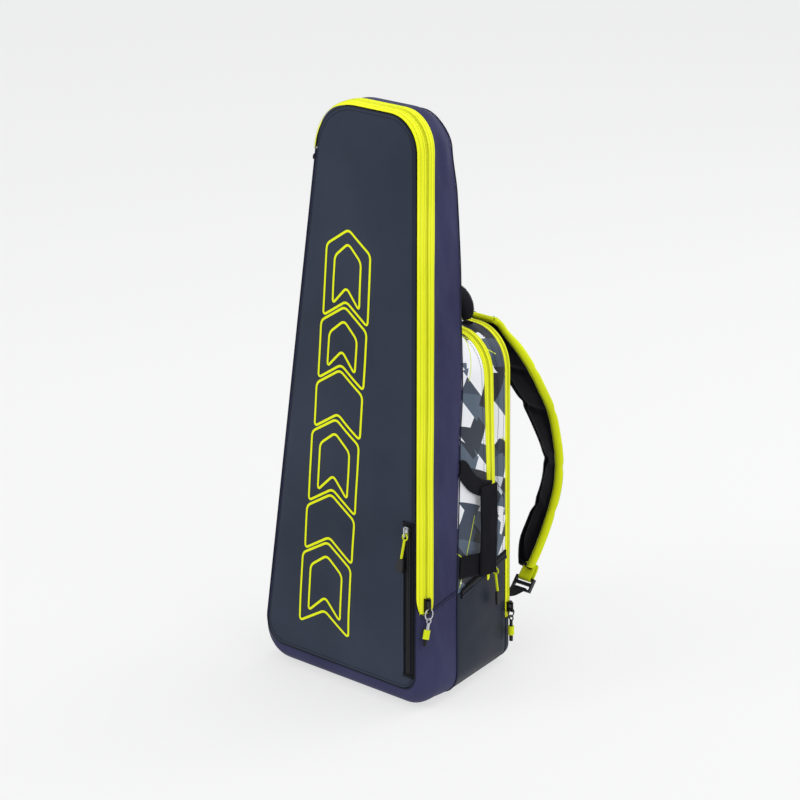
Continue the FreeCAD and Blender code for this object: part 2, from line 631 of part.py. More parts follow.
def side_handle():
    """A webbing loop sewn into the seam between the racket compartment and the pack body."""
    root_low, root_high = 156.0, 322.0
    reach = 64.0
    inner_reach = reach - SIDE_HANDLE_WIDTH

    def seam(z):
        return V(half_width(z), front_y(z) + RACKET_DEPTH, z)
    away = V(0.06, 1, 0)
    lift = V(0.5, 0, 0)

    def at(along, z):
        return seam(z) + away * along + lift
    outer = [at(1, root_low), at(reach - 28, root_low - 6), at(reach - 8, root_low - 2), at(reach, root_low + 13),
             at(reach, 262), at(reach - 10, 284), at(1, root_high)]
    inner = [at(0, root_low + SIDE_HANDLE_WIDTH), at(inner_reach - 8, root_low + SIDE_HANDLE_WIDTH - 4),
             at(inner_reach, root_low + SIDE_HANDLE_WIDTH + 2), at(inner_reach, 240),
             at(inner_reach - 6, 252), at(0, root_high - SIDE_HANDLE_WIDTH - 2)]
    flat = Part.Face(Part.makePolygon([V(0, p.y, p.z) for p in outer + outer[:1]]))
    hole = Part.Face(Part.makePolygon([V(0, p.y, p.z) for p in inner + inner[:1]]))
    low, high = seam(root_low), seam(root_high)
    axis = (high - low).normalize()
    normal = V(1, -0.06, 0)
    plane_in = Part.makeBox(FAR, FAR, FAR, V(0, -FAR / 2, -FAR / 2))
    turn = box_frame(low + lift, axis, normal)
    inside = plane_in.transformGeometry(turn)
    outside = plane_in.copy()
    outside.translate(V(SIDE_HANDLE_THICK, 0, 0))
    outside = outside.transformGeometry(turn)
    profile = flat.cut(hole).extrude(V(FAR / 2, 0, 0))
    band = profile.common(inside).cut(outside)
    save("side_handle", band.cut(slab(-FAR / 2, seam(root_low).y + 1.2)))
    note("side handle", axis, normal, low + lift)


def box_frame(origin, axis, normal):
    """A frame whose X is the outward direction square to an axis."""
    out = (normal - axis * normal.dot(axis)).normalize()
    third = axis.cross(out)
    return FreeCAD.Matrix(out.x, third.x, axis.x, origin.x, out.y, third.y, axis.y, origin.y,
                          out.z, third.z, axis.z, origin.z, 0, 0, 0, 1)


# ---- shoulder straps ----

# Outer edge of the strap from shoulder to foot: x, y, z, then the strap's width and its turn.
STRAP_STATIONS = [
    (80, 117, 458, 52, 0), (90, 121, 444, 56, 0), (102, 132, 424, 60, 0), (108, 149, 396, 62, 0),
    (110, 168, 362, 62, -4), (110, 187, 326, 62, -9), (110, 198, 280, 60, -19), (110, 200, 246, 56, -29),
    (110, 195, 212, 53, -31), (110, 178, 172, 52, -27), (110, 162, 142, 48, -24), (110, 152, 122, 42, -22)]


def strap_section(index):
    x, y, z, width, turn = STRAP_STATIONS[index]
    before = STRAP_STATIONS[max(index - 1, 0)]
    after = STRAP_STATIONS[min(index + 1, len(STRAP_STATIONS) - 1)]
    run = V(0, after[1] - before[1], after[2] - before[2]).normalize()
    angle = math.radians(turn)
    across = V(-math.cos(angle), -math.sin(angle), 0)
    across = (across - run * across.dot(run)).normalize()
    out = run.cross(across).normalize() * STRAP_THICK
    edge = V(x, y, z)
    points = [edge, edge + across * width, edge + across * width + out, edge + out]
    return Part.makePolygon(points + points[:1])


def strap_pad():
    pieces = []
    for index in range(len(STRAP_STATIONS) - 1):
        pieces.append(Part.makeLoft([strap_section(index), strap_section(index + 1)], True, True))
    return pieces[0].multiFuse(pieces[1:])


STRAP_TOP = V(54, PACK_BACK_Y + BOARD_WALL + 13.0, 447)
STRAP_FOOT = V(99, PACK_BACK_Y + BOARD_WALL + WEB_WIDTH / 2 + 0.7, 86)
LOCK_CENTRE = V(99, 146.0, 92.0)
LOCK_TURN = -38.0
LOCK_SLOT = -4.5            # middle of the lock's low slot, in its own frame


def strap_parts():
    """Pad, sewn loop, ladder lock and lower webbing swing together between two anchors."""
    axis = (STRAP_TOP - STRAP_FOOT).normalize()
    top = STRAP_TOP - axis * ANCHOR_HEIGHT
    reach = axis * (2 * ANCHOR_HEIGHT)
    roll = rod(top, top + reach, ANCHOR_RADIUS)
    groove = rod(top - axis * 20, top + reach + axis * 20, ANCHOR_RADIUS + CLEAR)
    pad = strap_pad().cut(groove)
    web = box_between((STRAP_TOP.x - 2, STRAP_TOP.x + 2), (PACK_BACK_Y + BOARD_WALL, STRAP_TOP.y),
                      (STRAP_TOP.z - ANCHOR_HEIGHT, STRAP_TOP.z + ANCHOR_HEIGHT - 4))
    anchor = roll.fuse(web)
    lock = ladder_lock()
    loop = strap_loop().cut(pad)
    parts = (("strap_pad_", pad), ("strap_loop_", loop), ("ladder_lock_", lock),
             ("lower_webbing_", lower_webbing()))
    for name, shape in parts:
        save(name + "right", shape)
        save(name + "left", shape.mirror(V(0, 0, 0), V(1, 0, 0)))
    save("strap_anchors", Part.makeCompound([anchor, anchor.mirror(V(0, 0, 0), V(1, 0, 0))]))
    note("strap", axis, V(0, 1, 0), STRAP_TOP, STRAP_FOOT)


def on_lock(shape):
    """Turns and moves a shape from the ladder lock's own frame to its place."""
    shape.rotate(V(0, 0, 0), V(1, 0, 0), LOCK_TURN)
    shape.translate(LOCK_CENTRE)
    return shape


def ladder_lock():
    """A moulded frame with two slots: the upper takes the sewn loop, the lower the webbing."""
    body = box_between((-16, 16), (-2.5, 2.5), (-10, 9.5))
    body = body.cut(box_between((-13, 13), (-5, 5), (2.6, 7.0)))
    body = body.cut(box_between((-13.5, 13.5), (-5, 5), (-7.0, -2.0)))
    return on_lock(body)


def strap_loop():
    """A folded tape that holds the lock's top bar and is sewn into the pad."""
    outer = box_between((-11, 11), (-4.3, 4.3), (4.6, 40))
    inner = box_between((-12, 12), (-2.9, 2.9), (6.0, 26))
    return on_lock(outer.cut(inner))


def lower_webbing():
    """A flat web from its anchor into the lock's low slot."""
    tilt = math.radians(-LOCK_TURN)
    slot = LOCK_CENTRE + V(0, LOCK_SLOT * math.sin(tilt), LOCK_SLOT * math.cos(tilt))
    half = WEB_WIDTH / 2
    base = Part.makeCylinder(half, WEB_THICK, STRAP_FOOT)
    start = V(0, STRAP_FOOT.y, STRAP_FOOT.z)
    end = V(0, slot.y, slot.z + 1.0 - WEB_THICK / 2)
    thick = V(0, 0, WEB_THICK)
    outline = [start, end, end + thick, start + thick]
    points = [V(STRAP_FOOT.x - half, p.y, p.z) for p in outline]
    run = Part.Face(Part.makePolygon(points + points[:1])).extrude(V(WEB_WIDTH, 0, 0))
    return base.fuse(run)


os.makedirs("parts", exist_ok=True)
front_panels()
racket_walls()
racket_zip()
racket_slider_parts()
front_pocket()
pack_walls()
back_panel()
side_pocket()
main_and_rear_sliders()
top_handle()
side_handle()
strap_parts()
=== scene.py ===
import json
import math

import bmesh
import bpy
from mathutils import Matrix, Vector, noise


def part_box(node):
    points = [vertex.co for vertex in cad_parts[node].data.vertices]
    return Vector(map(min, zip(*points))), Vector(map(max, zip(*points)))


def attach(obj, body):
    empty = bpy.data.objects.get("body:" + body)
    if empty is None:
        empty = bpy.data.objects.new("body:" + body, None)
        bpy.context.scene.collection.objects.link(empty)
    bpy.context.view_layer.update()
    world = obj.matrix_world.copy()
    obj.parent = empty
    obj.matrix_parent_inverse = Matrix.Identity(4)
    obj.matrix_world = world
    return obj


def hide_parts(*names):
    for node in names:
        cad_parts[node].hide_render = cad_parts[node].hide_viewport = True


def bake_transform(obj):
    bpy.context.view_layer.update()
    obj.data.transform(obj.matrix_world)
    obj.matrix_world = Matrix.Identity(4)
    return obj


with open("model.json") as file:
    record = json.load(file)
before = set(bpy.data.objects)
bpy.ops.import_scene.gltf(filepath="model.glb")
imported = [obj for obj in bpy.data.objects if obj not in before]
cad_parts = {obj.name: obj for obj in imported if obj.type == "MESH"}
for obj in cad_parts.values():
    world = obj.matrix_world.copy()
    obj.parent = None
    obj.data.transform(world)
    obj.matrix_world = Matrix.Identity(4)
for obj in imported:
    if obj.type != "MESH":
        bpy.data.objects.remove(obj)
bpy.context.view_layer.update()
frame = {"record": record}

# ---------------------------------------------------------------------------
# The studio: a pale floor, soft light from above and both sides, and a long
# lens at the height of the bag's upper half, off its right front corner.

FLOOR_TONE = (0.22, 0.22, 0.22, 1)
FLOOR_GLOW = 0.645
CAMERA_AZIMUTH = 43.4
CAMERA_HEIGHT = 18.6
CAMERA_ROLL = -0.5
CAMERA_AWAY = 4.105
CAMERA_TARGET = Vector((0.0105, 0.0, 0.3703))
CAMERA_LENS = 141.1


def set_inputs(node, **values):
    """Sets a node's plain values. A keyword's underlines stand for spaces."""
    for label, value in values.items():
        node.inputs[label.replace("_", " ")].default_value = value


def new_material(name, **values):
    """A material with its surface's plain values: the material, its tree and its surface."""
    made = bpy.data.materials.new(name)
    made.use_nodes = True
    shader = made.node_tree.nodes["Principled BSDF"]
    set_inputs(shader, **values)
    return made, made.node_tree, shader


def in_scene(name, data):
    """A new object in the scene, at the origin."""
    obj = bpy.data.objects.new(name, data)
    bpy.context.scene.collection.objects.link(obj)
    return obj


def shade_smooth(mesh):
    for polygon in mesh.polygons:
        polygon.use_smooth = True


def finished_mesh(name, verts, faces, material=None):
    """A smooth object at the origin from points in metres."""
    mesh = bpy.data.meshes.new(name)
    mesh.from_pydata([tuple(v) for v in verts], [], faces)
    shade_smooth(mesh)
    mesh.update()
    if material:
        mesh.materials.append(material)
    return in_scene(name, mesh)


floor_finish = new_material("studio_floor", Base_Color=FLOOR_TONE, Roughness=0.9, Emission_Color=(1, 1, 1, 1),
                            Emission_Strength=FLOOR_GLOW)[0]
floor = finished_mesh("studio_floor", [(-30, -30, 0), (30, -30, 0), (30, 30, 0), (-30, 30, 0)],
                      [(0, 1, 2, 3)], floor_finish)

world = bpy.data.worlds.new("studio")
bpy.context.scene.world = world
world.use_nodes = True
set_inputs(world.node_tree.nodes["Background"], Color=(0.93, 0.94, 0.96, 1), Strength=0.78)


def soft_light(name, place, aim, size, power):
    """A round soft box that faces a point of the bag."""
    data = bpy.data.lights.new(name, "AREA")
    data.shape = "DISK"
    data.size = size
    data.energy = power
    lamp = in_scene(name, data)
    lamp.location = place
    lamp.rotation_euler = (Vector(aim) - Vector(place)).to_track_quat("-Z", "Y").to_euler()


soft_light("light_front", (-1.6, -2.6, 2.3), (0, 0, 0.4), 1.8, 33)
soft_light("light_right", (2.9, -0.2, 1.7), (0, 0, 0.35), 1.4, 11)
soft_light("light_top", (0.2, 0.6, 3.0), (0, 0, 0.3), 1.8, 26)
soft_light("light_back", (0.8, 3.0, 1.9), (0, 0, 0.35), 1.8, 22)

azimuth, height = math.radians(CAMERA_AZIMUTH), math.radians(CAMERA_HEIGHT)
back = Vector((math.sin(azimuth) * math.cos(height), -math.cos(azimuth) * math.cos(height), math.sin(height)))
right = Vector((math.cos(azimuth), math.sin(azimuth), 0))
up = back.cross(right)
roll = math.radians(CAMERA_ROLL)
camera = in_scene("camera", bpy.data.cameras.new("camera"))
camera.data.lens = CAMERA_LENS
camera.data.sensor_width = 36
camera.data.clip_end = 60
turn = Matrix((right * math.cos(roll) + up * math.sin(roll),
               up * math.cos(roll) - right * math.sin(roll), back)).transposed()
camera.matrix_world = Matrix.Translation(CAMERA_TARGET + back * CAMERA_AWAY) @ turn.to_4x4()
bpy.context.scene.camera = camera
bpy.context.scene.view_settings.view_transform = "Standard"

# ---------------------------------------------------------------------------
# Cloth finishes. Each is a shader group that gives a tone and a height, read
# from Object coordinates, so that the weave stays at its real scale.


def new_group(name, inputs, outputs):
    """A shader group with its input and output nodes."""
    group = bpy.data.node_groups.new(name, "ShaderNodeTree")
    for label, value in inputs:
        socket = group.interface.new_socket(label, in_out="INPUT", socket_type="NodeSocketFloat")
        socket.default_value = value
    for label in outputs:
        group.interface.new_socket(label, in_out="OUTPUT", socket_type="NodeSocketFloat")
    return group, group.nodes.new("NodeGroupInput"), group.nodes.new("NodeGroupOutput")


def maths(tree, operation, first, second=None, third=None):
    """A sum of sockets or plain numbers, as a socket."""
    node = tree.nodes.new("ShaderNodeMath")
    node.operation = operation
    for socket, value in zip(node.inputs, (first, second, third)):
        if value is None:
            continue
        if isinstance(value, (int, float)):
            socket.default_value = value
        else:
            tree.links.new(value, socket)
    return node.outputs[0]


def texture(tree, kind, place, **values):
    """A noise or cell texture read at a place."""
    node = tree.nodes.new("ShaderNodeTex" + kind)
    set_inputs(node, **values)
    tree.links.new(place, node.inputs["Vector"])
    return node


def object_place(tree):
    return tree.nodes.new("ShaderNodeTexCoord").outputs["Object"]


def weave_group():
    """Over-and-under threads in all three directions, with slubs."""
    group, source, result = new_group("weave", [("Threads per metre", 900.0), ("Slub", 0.4)], ["Height", "Tone"])
    place = object_place(group)
    split = group.nodes.new("ShaderNodeSeparateXYZ")
    group.links.new(place, split.inputs[0])
    across = maths(group, "ADD", split.outputs["X"], split.outputs["Y"])
    rate = maths(group, "MULTIPLY", source.outputs["Threads per metre"], 2 * math.pi)
    warp = maths(group, "SINE", maths(group, "MULTIPLY", across, rate))
    weft = maths(group, "SINE", maths(group, "MULTIPLY", split.outputs["Z"], rate))
    threads = maths(group, "MULTIPLY", warp, weft)
    slub = texture(group, "Noise", place, Scale=260, Detail=3)
    rough = maths(group, "MULTIPLY", slub.outputs["Fac"], source.outputs["Slub"])
    group.links.new(maths(group, "ADD", maths(group, "MULTIPLY_ADD", threads, 0.5, 0.5), rough),
                    result.inputs["Height"])
    broad = texture(group, "Noise", place, Scale=9, Detail=4)
    group.links.new(maths(group, "MULTIPLY_ADD", rough, 0.35, broad.outputs["Fac"]), result.inputs["Tone"])
    return group


def grain_group():
    """The fine pebbled grain of a coated cloth, with faint broad patches of lighter and darker tone."""
    group, source, result = new_group("coated_grain", [("Grain size", 1400.0)], ["Height", "Tone"])
    place = object_place(group)
    pebbles = texture(group, "Voronoi", place)
    pebbles.feature = "SMOOTH_F1"
    group.links.new(source.outputs["Grain size"], pebbles.inputs["Scale"])
    patches = texture(group, "Noise", place, Scale=6, Detail=6)
    fine = texture(group, "Noise", place, Scale=420)
    group.links.new(maths(group, "MULTIPLY_ADD", fine.outputs["Fac"], 0.5, pebbles.outputs["Distance"]),
                    result.inputs["Height"])
    group.links.new(maths(group, "MULTIPLY_ADD", fine.outputs["Fac"], 0.15, patches.outputs["Fac"]),
                    result.inputs["Tone"])
    return group


WEAVE = weave_group()
GRAIN = grain_group()


def bumped(tree, height, depth):
    """Lets a height raise and lower a material's surface."""
    bump = tree.nodes.new("ShaderNodeBump")
    set_inputs(bump, Strength=0.5, Distance=depth)
    tree.links.new(height, bump.inputs["Height"])
    tree.links.new(bump.outputs["Normal"], tree.nodes["Principled BSDF"].inputs["Normal"])


def srgb(red, green, blue):
    """A linear colour from 0 to 255 display values."""
    def linear(value):
        part = value / 255
        return part / 12.92 if part <= 0.04045 else ((part + 0.055) / 1.055) ** 2.4
    return (linear(red), linear(green), linear(blue), 1)


def cloth_material(name, dark, light, roughness, surface, depth, sheen=0.0, gloss=0.09):
    """A cloth whose tone drifts between two display colours and whose surface is woven or coated."""
    made, tree, shader = new_material(name, Roughness=roughness, Sheen_Weight=sheen, Sheen_Roughness=0.4,
                                      Specular_IOR_Level=gloss)
    effect = tree.nodes.new("ShaderNodeGroup")
    effect.node_tree, values = surface
    for label, value in values.items():
        effect.inputs[label].default_value = value
    ramp = tree.nodes.new("ShaderNodeValToRGB")
    for element, position, colour in zip(ramp.color_ramp.elements, (0.3, 0.85), (dark, light)):
        element.position = position
        element.color = srgb(*colour)
    tree.links.new(effect.outputs["Tone"], ramp.inputs["Fac"])
    tree.links.new(ramp.outputs["Color"], shader.inputs["Base Color"])
    bumped(tree, effect.outputs["Height"], depth)
    return made


def woven(threads, slub):
    """The weave's settings for cloth_material: threads per metre and thick places."""
    return WEAVE, {"Threads per metre": threads, "Slub": slub}


def coated(grain):
    """The pebbled coat's settings for cloth_material."""
    return GRAIN, {"Grain size": grain}


NAVY = cloth_material("navy_cloth", (42, 42, 72), (60, 61, 94), 0.6, woven(900, 0.5), 0.00012, sheen=0.03)
SLATE = cloth_material("coated_slate", (32, 40, 53), (48, 56, 73), 0.4, coated(1300), 0.00006, gloss=0.15)
# A darker copy of the coated slate for the pack body's lower sides, bottom, back and side pocket edge: painted shade,
# not a darker cloth.
PAINTED_SHADE_SLATE = cloth_material("painted_shade_slate", (20, 27, 39), (32, 40, 55), 0.4, coated(1300), 0.00006, gloss=0.12)
LIME = cloth_material("lime_tape", (236, 241, 34), (248, 251, 56), 0.6, woven(1100, 0.3), 0.0001)
BLACK_WEB = cloth_material("black_webbing", (10, 10, 15), (22, 22, 29), 0.65, woven(550, 0.3), 0.0003, sheen=0.03)

# ---------------------------------------------------------------------------
# Racket compartment gusset: navy woven polyester over foam, sewn round the
# front panel. It is deepest at mid height, softly rounded at the top back
# corner, and rolls under the front panel at the foot.

BAG_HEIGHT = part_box("divider_panel")[1].z
RACKET_DEPTH = 0.077
WALL = 0.003
HALF_BASE, HALF_TOP = 0.145, 0.088
FRONT_FOOT_Y = -0.115
LEAN = math.radians(5.3)
FRONT_ROUND, ZIP_ROUND = 0.032, 0.007
SHOULDER_START, SHOULDER_RUN, SHOULDER_DROP = 0.62, 0.14, 0.008
GUSSET_SWELL, CREASE = 0.0022, 0.0040
WALL_DOME = 0.004
ZIP_BAND = 0.026
ZIP_START, ZIP_END = 0.127, 0.698
FACE_LENGTH = BAG_HEIGHT / math.cos(LEAN)
ARC_STEPS, BASE_STEPS, SIDE_STEPS, TOP_STEPS = 9, 24, 84, 16
SEAM_BOW = [(0.0, 0.0), (0.14, -0.001), (0.33, 0.003), (0.41, 0.007), (0.54, 0.003), (0.66, -0.003),
            (0.72, -0.008), (0.77, -0.016)]


def rounded_outline(corners, radii):
    """Points round a four-sided outline with tangent arcs, from the low left corner round by
    the right: (x, w, outward x, outward w). Every outline has the same count, so that cloth
    can be drawn from a point of one to the same point of another."""
    spans = []
    for i, corner in enumerate(corners):
        c = Vector(corner)
        before = (Vector(corners[i - 1]) - c).normalized()
        after = (Vector(corners[(i + 1) % 4]) - c).normalized()
        half = before.angle(after) / 2
        reach = radii[i] / math.tan(half)
        centre = c + (before + after).normalized() * (radii[i] / math.sin(half))
        spans.append((c + before * reach, centre, c + after * reach))
    points = []
    for i, (start, centre, end) in enumerate(spans):
        first = math.atan2(start.y - centre.y, start.x - centre.x)
        sweep = (math.atan2(end.y - centre.y, end.x - centre.x) - first) % (2 * math.pi)
        for k in range(ARC_STEPS):
            angle = first + sweep * k / ARC_STEPS
            points.append((centre.x + math.cos(angle) * radii[i], centre.y + math.sin(angle) * radii[i],
                           math.cos(angle), math.sin(angle)))
        run = spans[(i + 1) % 4][0] - end
        normal = Vector((run.y, -run.x)).normalized()
        count = (BASE_STEPS, SIDE_STEPS, TOP_STEPS, SIDE_STEPS)[i]
        for k in range(count):
            p = end + run * (k / count)
            points.append((p.x, p.y, normal.x, normal.y))
    return points


def half_width(w):
    """Half the compartment's width at a distance up the face."""
    return HALF_BASE + (HALF_TOP - HALF_BASE) * w / FACE_LENGTH


def tapered(low, inset, radii, high=FACE_LENGTH):
    """An outline that follows the compartment's sides between two heights."""
    wide, narrow = half_width(low) - inset, half_width(high) - inset
    corners = [(-wide, low), (wide, low), (narrow, high - inset), (-narrow, high - inset)]
    return rounded_outline(corners, radii)


def smooth_step(value):
    """Rises smoothly from 0 to 1 while the value does."""
    clamped = min(1.0, max(0.0, value))
    return clamped * clamped * (3 - 2 * clamped)


def from_knots(knots, at):
    """Smooth value between (place, value) pairs."""
    if at <= knots[0][0]:
        return knots[0][1]
    for (a, va), (b, vb) in zip(knots, knots[1:]):
        if at <= b:
            return va + (vb - va) * smooth_step((at - a) / (b - a))
    return knots[-1][1]


def unevenness(point, size, seed):
    """A small rise or hollow in metres, the same on every run."""
    spot = Vector(point)
    broad = noise.noise(spot * 13 + Vector((seed, 0, 0)))
    return (broad + 0.35 * noise.noise(spot * 39 + Vector((0, seed, 0)))) * size


def racket_depth(w):
    """Depth of the gusset at a distance up the face."""
    return RACKET_DEPTH + from_knots(SEAM_BOW, w)


def on_face(x, w, depth):
    """A point from across, up the face, and depth behind it."""
    return Vector((x, FRONT_FOOT_Y + w * math.sin(LEAN) + depth, w * math.cos(LEAN)))


GUSSET_LINE = tapered(0.0, 0.0, (0.038, 0.030, 0.052, 0.066))
PANEL_LINE = tapered(0.028, 0.0052, (0.034, 0.020, 0.047, 0.061))
COUNT = len(GUSSET_LINE)


def front_roll(x, w):
    """Radius of the gusset's turn behind the front panel: tight under the zip, wide elsewhere."""
    if x < 0:
        return FRONT_ROUND + (ZIP_ROUND - FRONT_ROUND) * smooth_step((w - ZIP_END + 0.04) / 0.04)
    return FRONT_ROUND + (ZIP_ROUND - FRONT_ROUND) * smooth_step((w - ZIP_START + 0.03) / 0.03)


def shoulder_drop(w):
    """How far the top back corner is drawn in, growing from the shoulders up."""
    return SHOULDER_DROP * smooth_step((w - SHOULDER_START) / SHOULDER_RUN)


def gusset_point(i, depth, lift=0.0):
    """A point on the gusset's outside, at a depth behind the front panel."""
    px, pw, _, _ = PANEL_LINE[i]
    gx, gw, nx, nw = GUSSET_LINE[i]
    roll = math.sqrt(max(0.0, 1 - max(0.0, 1 - depth / front_roll(gx, gw)) ** 2))
    x, w = px + (gx - px) * roll, pw + (gw - pw) * roll
    share = depth / racket_depth(w)
    swell = math.sin(math.pi * min(1.0, share))
    crease = unevenness((x, depth * 2.2 + w * 0.6, w), CREASE, 3.0) * smooth_step((depth - ZIP_BAND) / 0.012)
    puff = abs(nx) * swell * (GUSSET_SWELL + crease)
    lift += puff - shoulder_drop(w) * smooth_step((share - 0.66) / 0.34)
    place = on_face(x + nx * lift, w + nw * lift, depth)
    place.z = max(place.z, 0.0)
    return place


def clean(obj):
    """Drops loose points, merges doubles and turns the faces outwards."""
    work = bmesh.new()
    work.from_mesh(obj.data)
    bmesh.ops.remove_doubles(work, verts=work.verts, dist=0.00002)
    bmesh.ops.delete(work, geom=[v for v in work.verts if not v.link_faces], context="VERTS")
    bmesh.ops.recalc_face_normals(work, faces=work.faces)
    work.to_mesh(obj.data)
    work.free()
    return obj


def apply_modifiers(obj):
    """Turns an object's modifiers into plain mesh."""
    graph = bpy.context.evaluated_depsgraph_get()
    made = bpy.data.meshes.new_from_object(obj.evaluated_get(graph))
    obj.modifiers.clear()
    obj.data = made
    return obj


def softened(obj):
    """Rounds a mesh by one subdivision."""
    soft = obj.modifiers.new("soft", "SUBSURF")
    soft.levels = 1
    soft.render_levels = 1
    return apply_modifiers(obj)


def thicken(obj, wall, offset=-1.0, soft=True):
    """Gives a sheet its thickness, inwards unless told otherwise, and softens it."""
    solid = obj.modifiers.new("wall", "SOLIDIFY")
    solid.thickness = wall
    solid.offset = offset
    return softened(obj) if soft else apply_modifiers(obj)


def belongs(obj, body, slot, *replaced):
    """Says which body carries a piece and which solids it stands for. Its slot, the finish, is not used.
    A piece without a body crosses the flap's fold."""
    if body:
        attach(obj, body)
    else:
        bend_at_fold(obj)
    if replaced:
        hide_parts(*replaced)
    return obj


def grid_faces(columns, rows, closed, keep=None):
    """Quads over columns of rows + 1 points, wrapping round if closed."""
    faces = []
    stride = rows + 1
    for i in range(columns if closed else columns - 1):
        j = (i + 1) % columns
        if keep and not (keep(i) and keep(j)):
            continue
        for row in range(rows):
            faces.append((i * stride + row, j * stride + row, j * stride + row + 1, i * stride + row + 1))
    return faces


def outward(obj, sample):
    """Flips a sheet whose face nearest the sample doesn't point the sample's way."""
    point, direction = sample
    nearest = min(obj.data.polygons, key=lambda f: (f.center - Vector(point)).length)
    if nearest.normal.dot(Vector(direction)) < 0:
        obj.data.flip_normals()
    return obj


def gusset_sheet(name, material, start, end, keep, rows, lift=0.0):
    """A band of gusset cloth between two depths, each a function of the height."""
    verts = []
    for i in range(COUNT):
        w = GUSSET_LINE[i][1]
        low, high = start(w), end(w)
        for row in range(rows + 1):
            verts.append(gusset_point(i, low + (high - low) * row / rows, lift))
    sheet = clean(finished_mesh(name, verts, grid_faces(COUNT, rows, True, keep), material))
    return outward(sheet, ((HALF_BASE, -0.06, 0.3), (1, 0, 0)))


def on_zip(i):
    """True where the zip band runs: up the right side and over the top to the left shoulder."""
    x, w = GUSSET_LINE[i][:2]
    return (x > 0 and w > ZIP_START) or w > ZIP_END


def off_zip(i):
    """True where the gusset runs on under the front panel, without the zip band."""
    x, w = GUSSET_LINE[i][:2]
    return not ((x > 0 and w > ZIP_START + 0.012) or w > ZIP_END + 0.012)


gusset = gusset_sheet("racket_gusset_cloth", NAVY, lambda w: ZIP_BAND - 0.003, racket_depth, lambda i: True, 12)
below_zip = gusset_sheet("below_zip", NAVY, lambda w: 0.0, lambda w: ZIP_BAND - 0.003, off_zip, 6)
both = bmesh.new()
both.from_mesh(gusset.data)
both.from_mesh(below_zip.data)
both.to_mesh(gusset.data)
both.free()
bpy.data.objects.remove(below_zip)
outward(clean(gusset), ((HALF_BASE, -0.06, 0.3), (1, 0, 0)))
thicken(gusset, WALL)
belongs(gusset, "root", "navy_cloth", "racket_gusset_right", "racket_gusset_top", "racket_gusset_left",
        "racket_gusset_base")

# ---------------------------------------------------------------------------
# Rear wall of the racket compartment: the same navy cloth over thin foam. It
# shows above the pack body, and divides the two lower down.

ROW_GAP, LOWER_HALF = 0.0006, 0.3


def face_grid(name, material, line, place, columns=28):
    """A sheet inside an outline, in rows from its left edge across to its right. Rows nearer than
    ROW_GAP merge into the wider one at the foot and into the lower one at the top."""
    rows = [point[:2] for point in line if point[0] > 0]
    rows.sort(key=lambda row: (row[1], -row[0] if row[1] < LOWER_HALF else 0))
    levels = []
    for x, w in rows:
        if not levels or w - levels[-1][1] >= ROW_GAP:
            levels.append((x, w))
        elif x > levels[-1][0] and w < LOWER_HALF:
            levels[-1] = (x, w)
    verts = [place(x, x * (2 * k / columns - 1), w) for x, w in levels for k in range(columns + 1)]
    return finished_mesh(name, verts, grid_faces(len(levels), columns, False), material)


def rear_wall_place(edge, x, w):
    """A point of the rear wall, drawn in at the shoulders and slightly domed above the pack body."""
    shoulder = shoulder_drop(w)
    dome = WALL_DOME * (1 - (x / edge) ** 2) * smooth_step((w - 0.47) / 0.08)
    return on_face(x * (edge - shoulder) / edge, w - shoulder * smooth_step((w - 0.72) / 0.05),
                   racket_depth(w) - 0.0012 + dome)


rear_wall = face_grid("racket_rear_wall", NAVY, GUSSET_LINE, rear_wall_place)
outward(rear_wall, ((0, 0.02, 0.6), (0, 1, 0)))
thicken(rear_wall, 0.0025)
belongs(rear_wall, "root", "navy_cloth", "divider_panel")

# ---------------------------------------------------------------------------
# Front panel: one cloth of coated polyester over thin foam. Its upper right
# part folds open along a diagonal when the zip is run back.

fold = next(j for j in frame["record"]["behaviour"]["joints"] if j["name"] == "flap_fold")
FOLD_POINT = Vector(fold["pos_m"])
FOLD_LINE = Vector(fold["axis"]).normalized()
FACE_OUT = Vector((0, -math.cos(LEAN), math.sin(LEAN)))
FOLD_ACROSS = FACE_OUT.cross(FOLD_LINE)
if FOLD_ACROSS.x < 0:
    FOLD_ACROSS = -FOLD_ACROSS


def bend_at_fold(obj):
    """Bakes the piece's transform into its mesh. The piece is not bent at the diagonal fold."""
    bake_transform(obj)


def panel_swell(edge, x, w):
    """How far the padded panel stands proud of its edges."""
    across = max(0.0, 1 - (x / edge) ** 2) ** 2
    along = smooth_step((w - 0.03) / 0.08) * smooth_step((FACE_LENGTH - w) / 0.08)
    return across * along * (0.0035 + unevenness((x * 0.7, 0, w * 0.55), 0.0026, 11.0))


def panel_place(edge, x, w):
    """A point of the front panel, which dips into the seam at its edge."""
    rim = 1 - abs(x) / edge
    drop = 0.0012 * (1 - smooth_step(rim / 0.05))
    return on_face(x, w, drop - panel_swell(edge, x, w))


front_panel = face_grid("front_panel", SLATE, PANEL_LINE, panel_place, 40)
outward(front_panel, ((0, -0.1, 0.4), (0, -1, 0)))
thicken(front_panel, WALL)
belongs(front_panel, None, "coated_slate", "front_panel_lower", "front_panel_flap")

# ---------------------------------------------------------------------------
# Piping and topstitching round the front panel: a thin dark cord in the seam,
# and a row of stitches just inside it.

STITCH_THREAD = cloth_material("dark_thread", (24, 27, 34), (40, 44, 54), 0.6, woven(2200, 0.2), 0.00005)


def ring_faces(rings, sides, closed=False):
    """Quads between closed sections, one after another. The ends are capped unless they join."""
    faces = []
    for i in range(rings if closed else rings - 1):
        a, b = i * sides, (i + 1) % rings * sides
        faces += [(a + s, a + (s + 1) % sides, b + (s + 1) % sides, b + s) for s in range(sides)]
    if not closed:
        faces.append(tuple(reversed(range(sides))))
        faces.append(tuple(range((rings - 1) * sides, rings * sides)))
    return faces


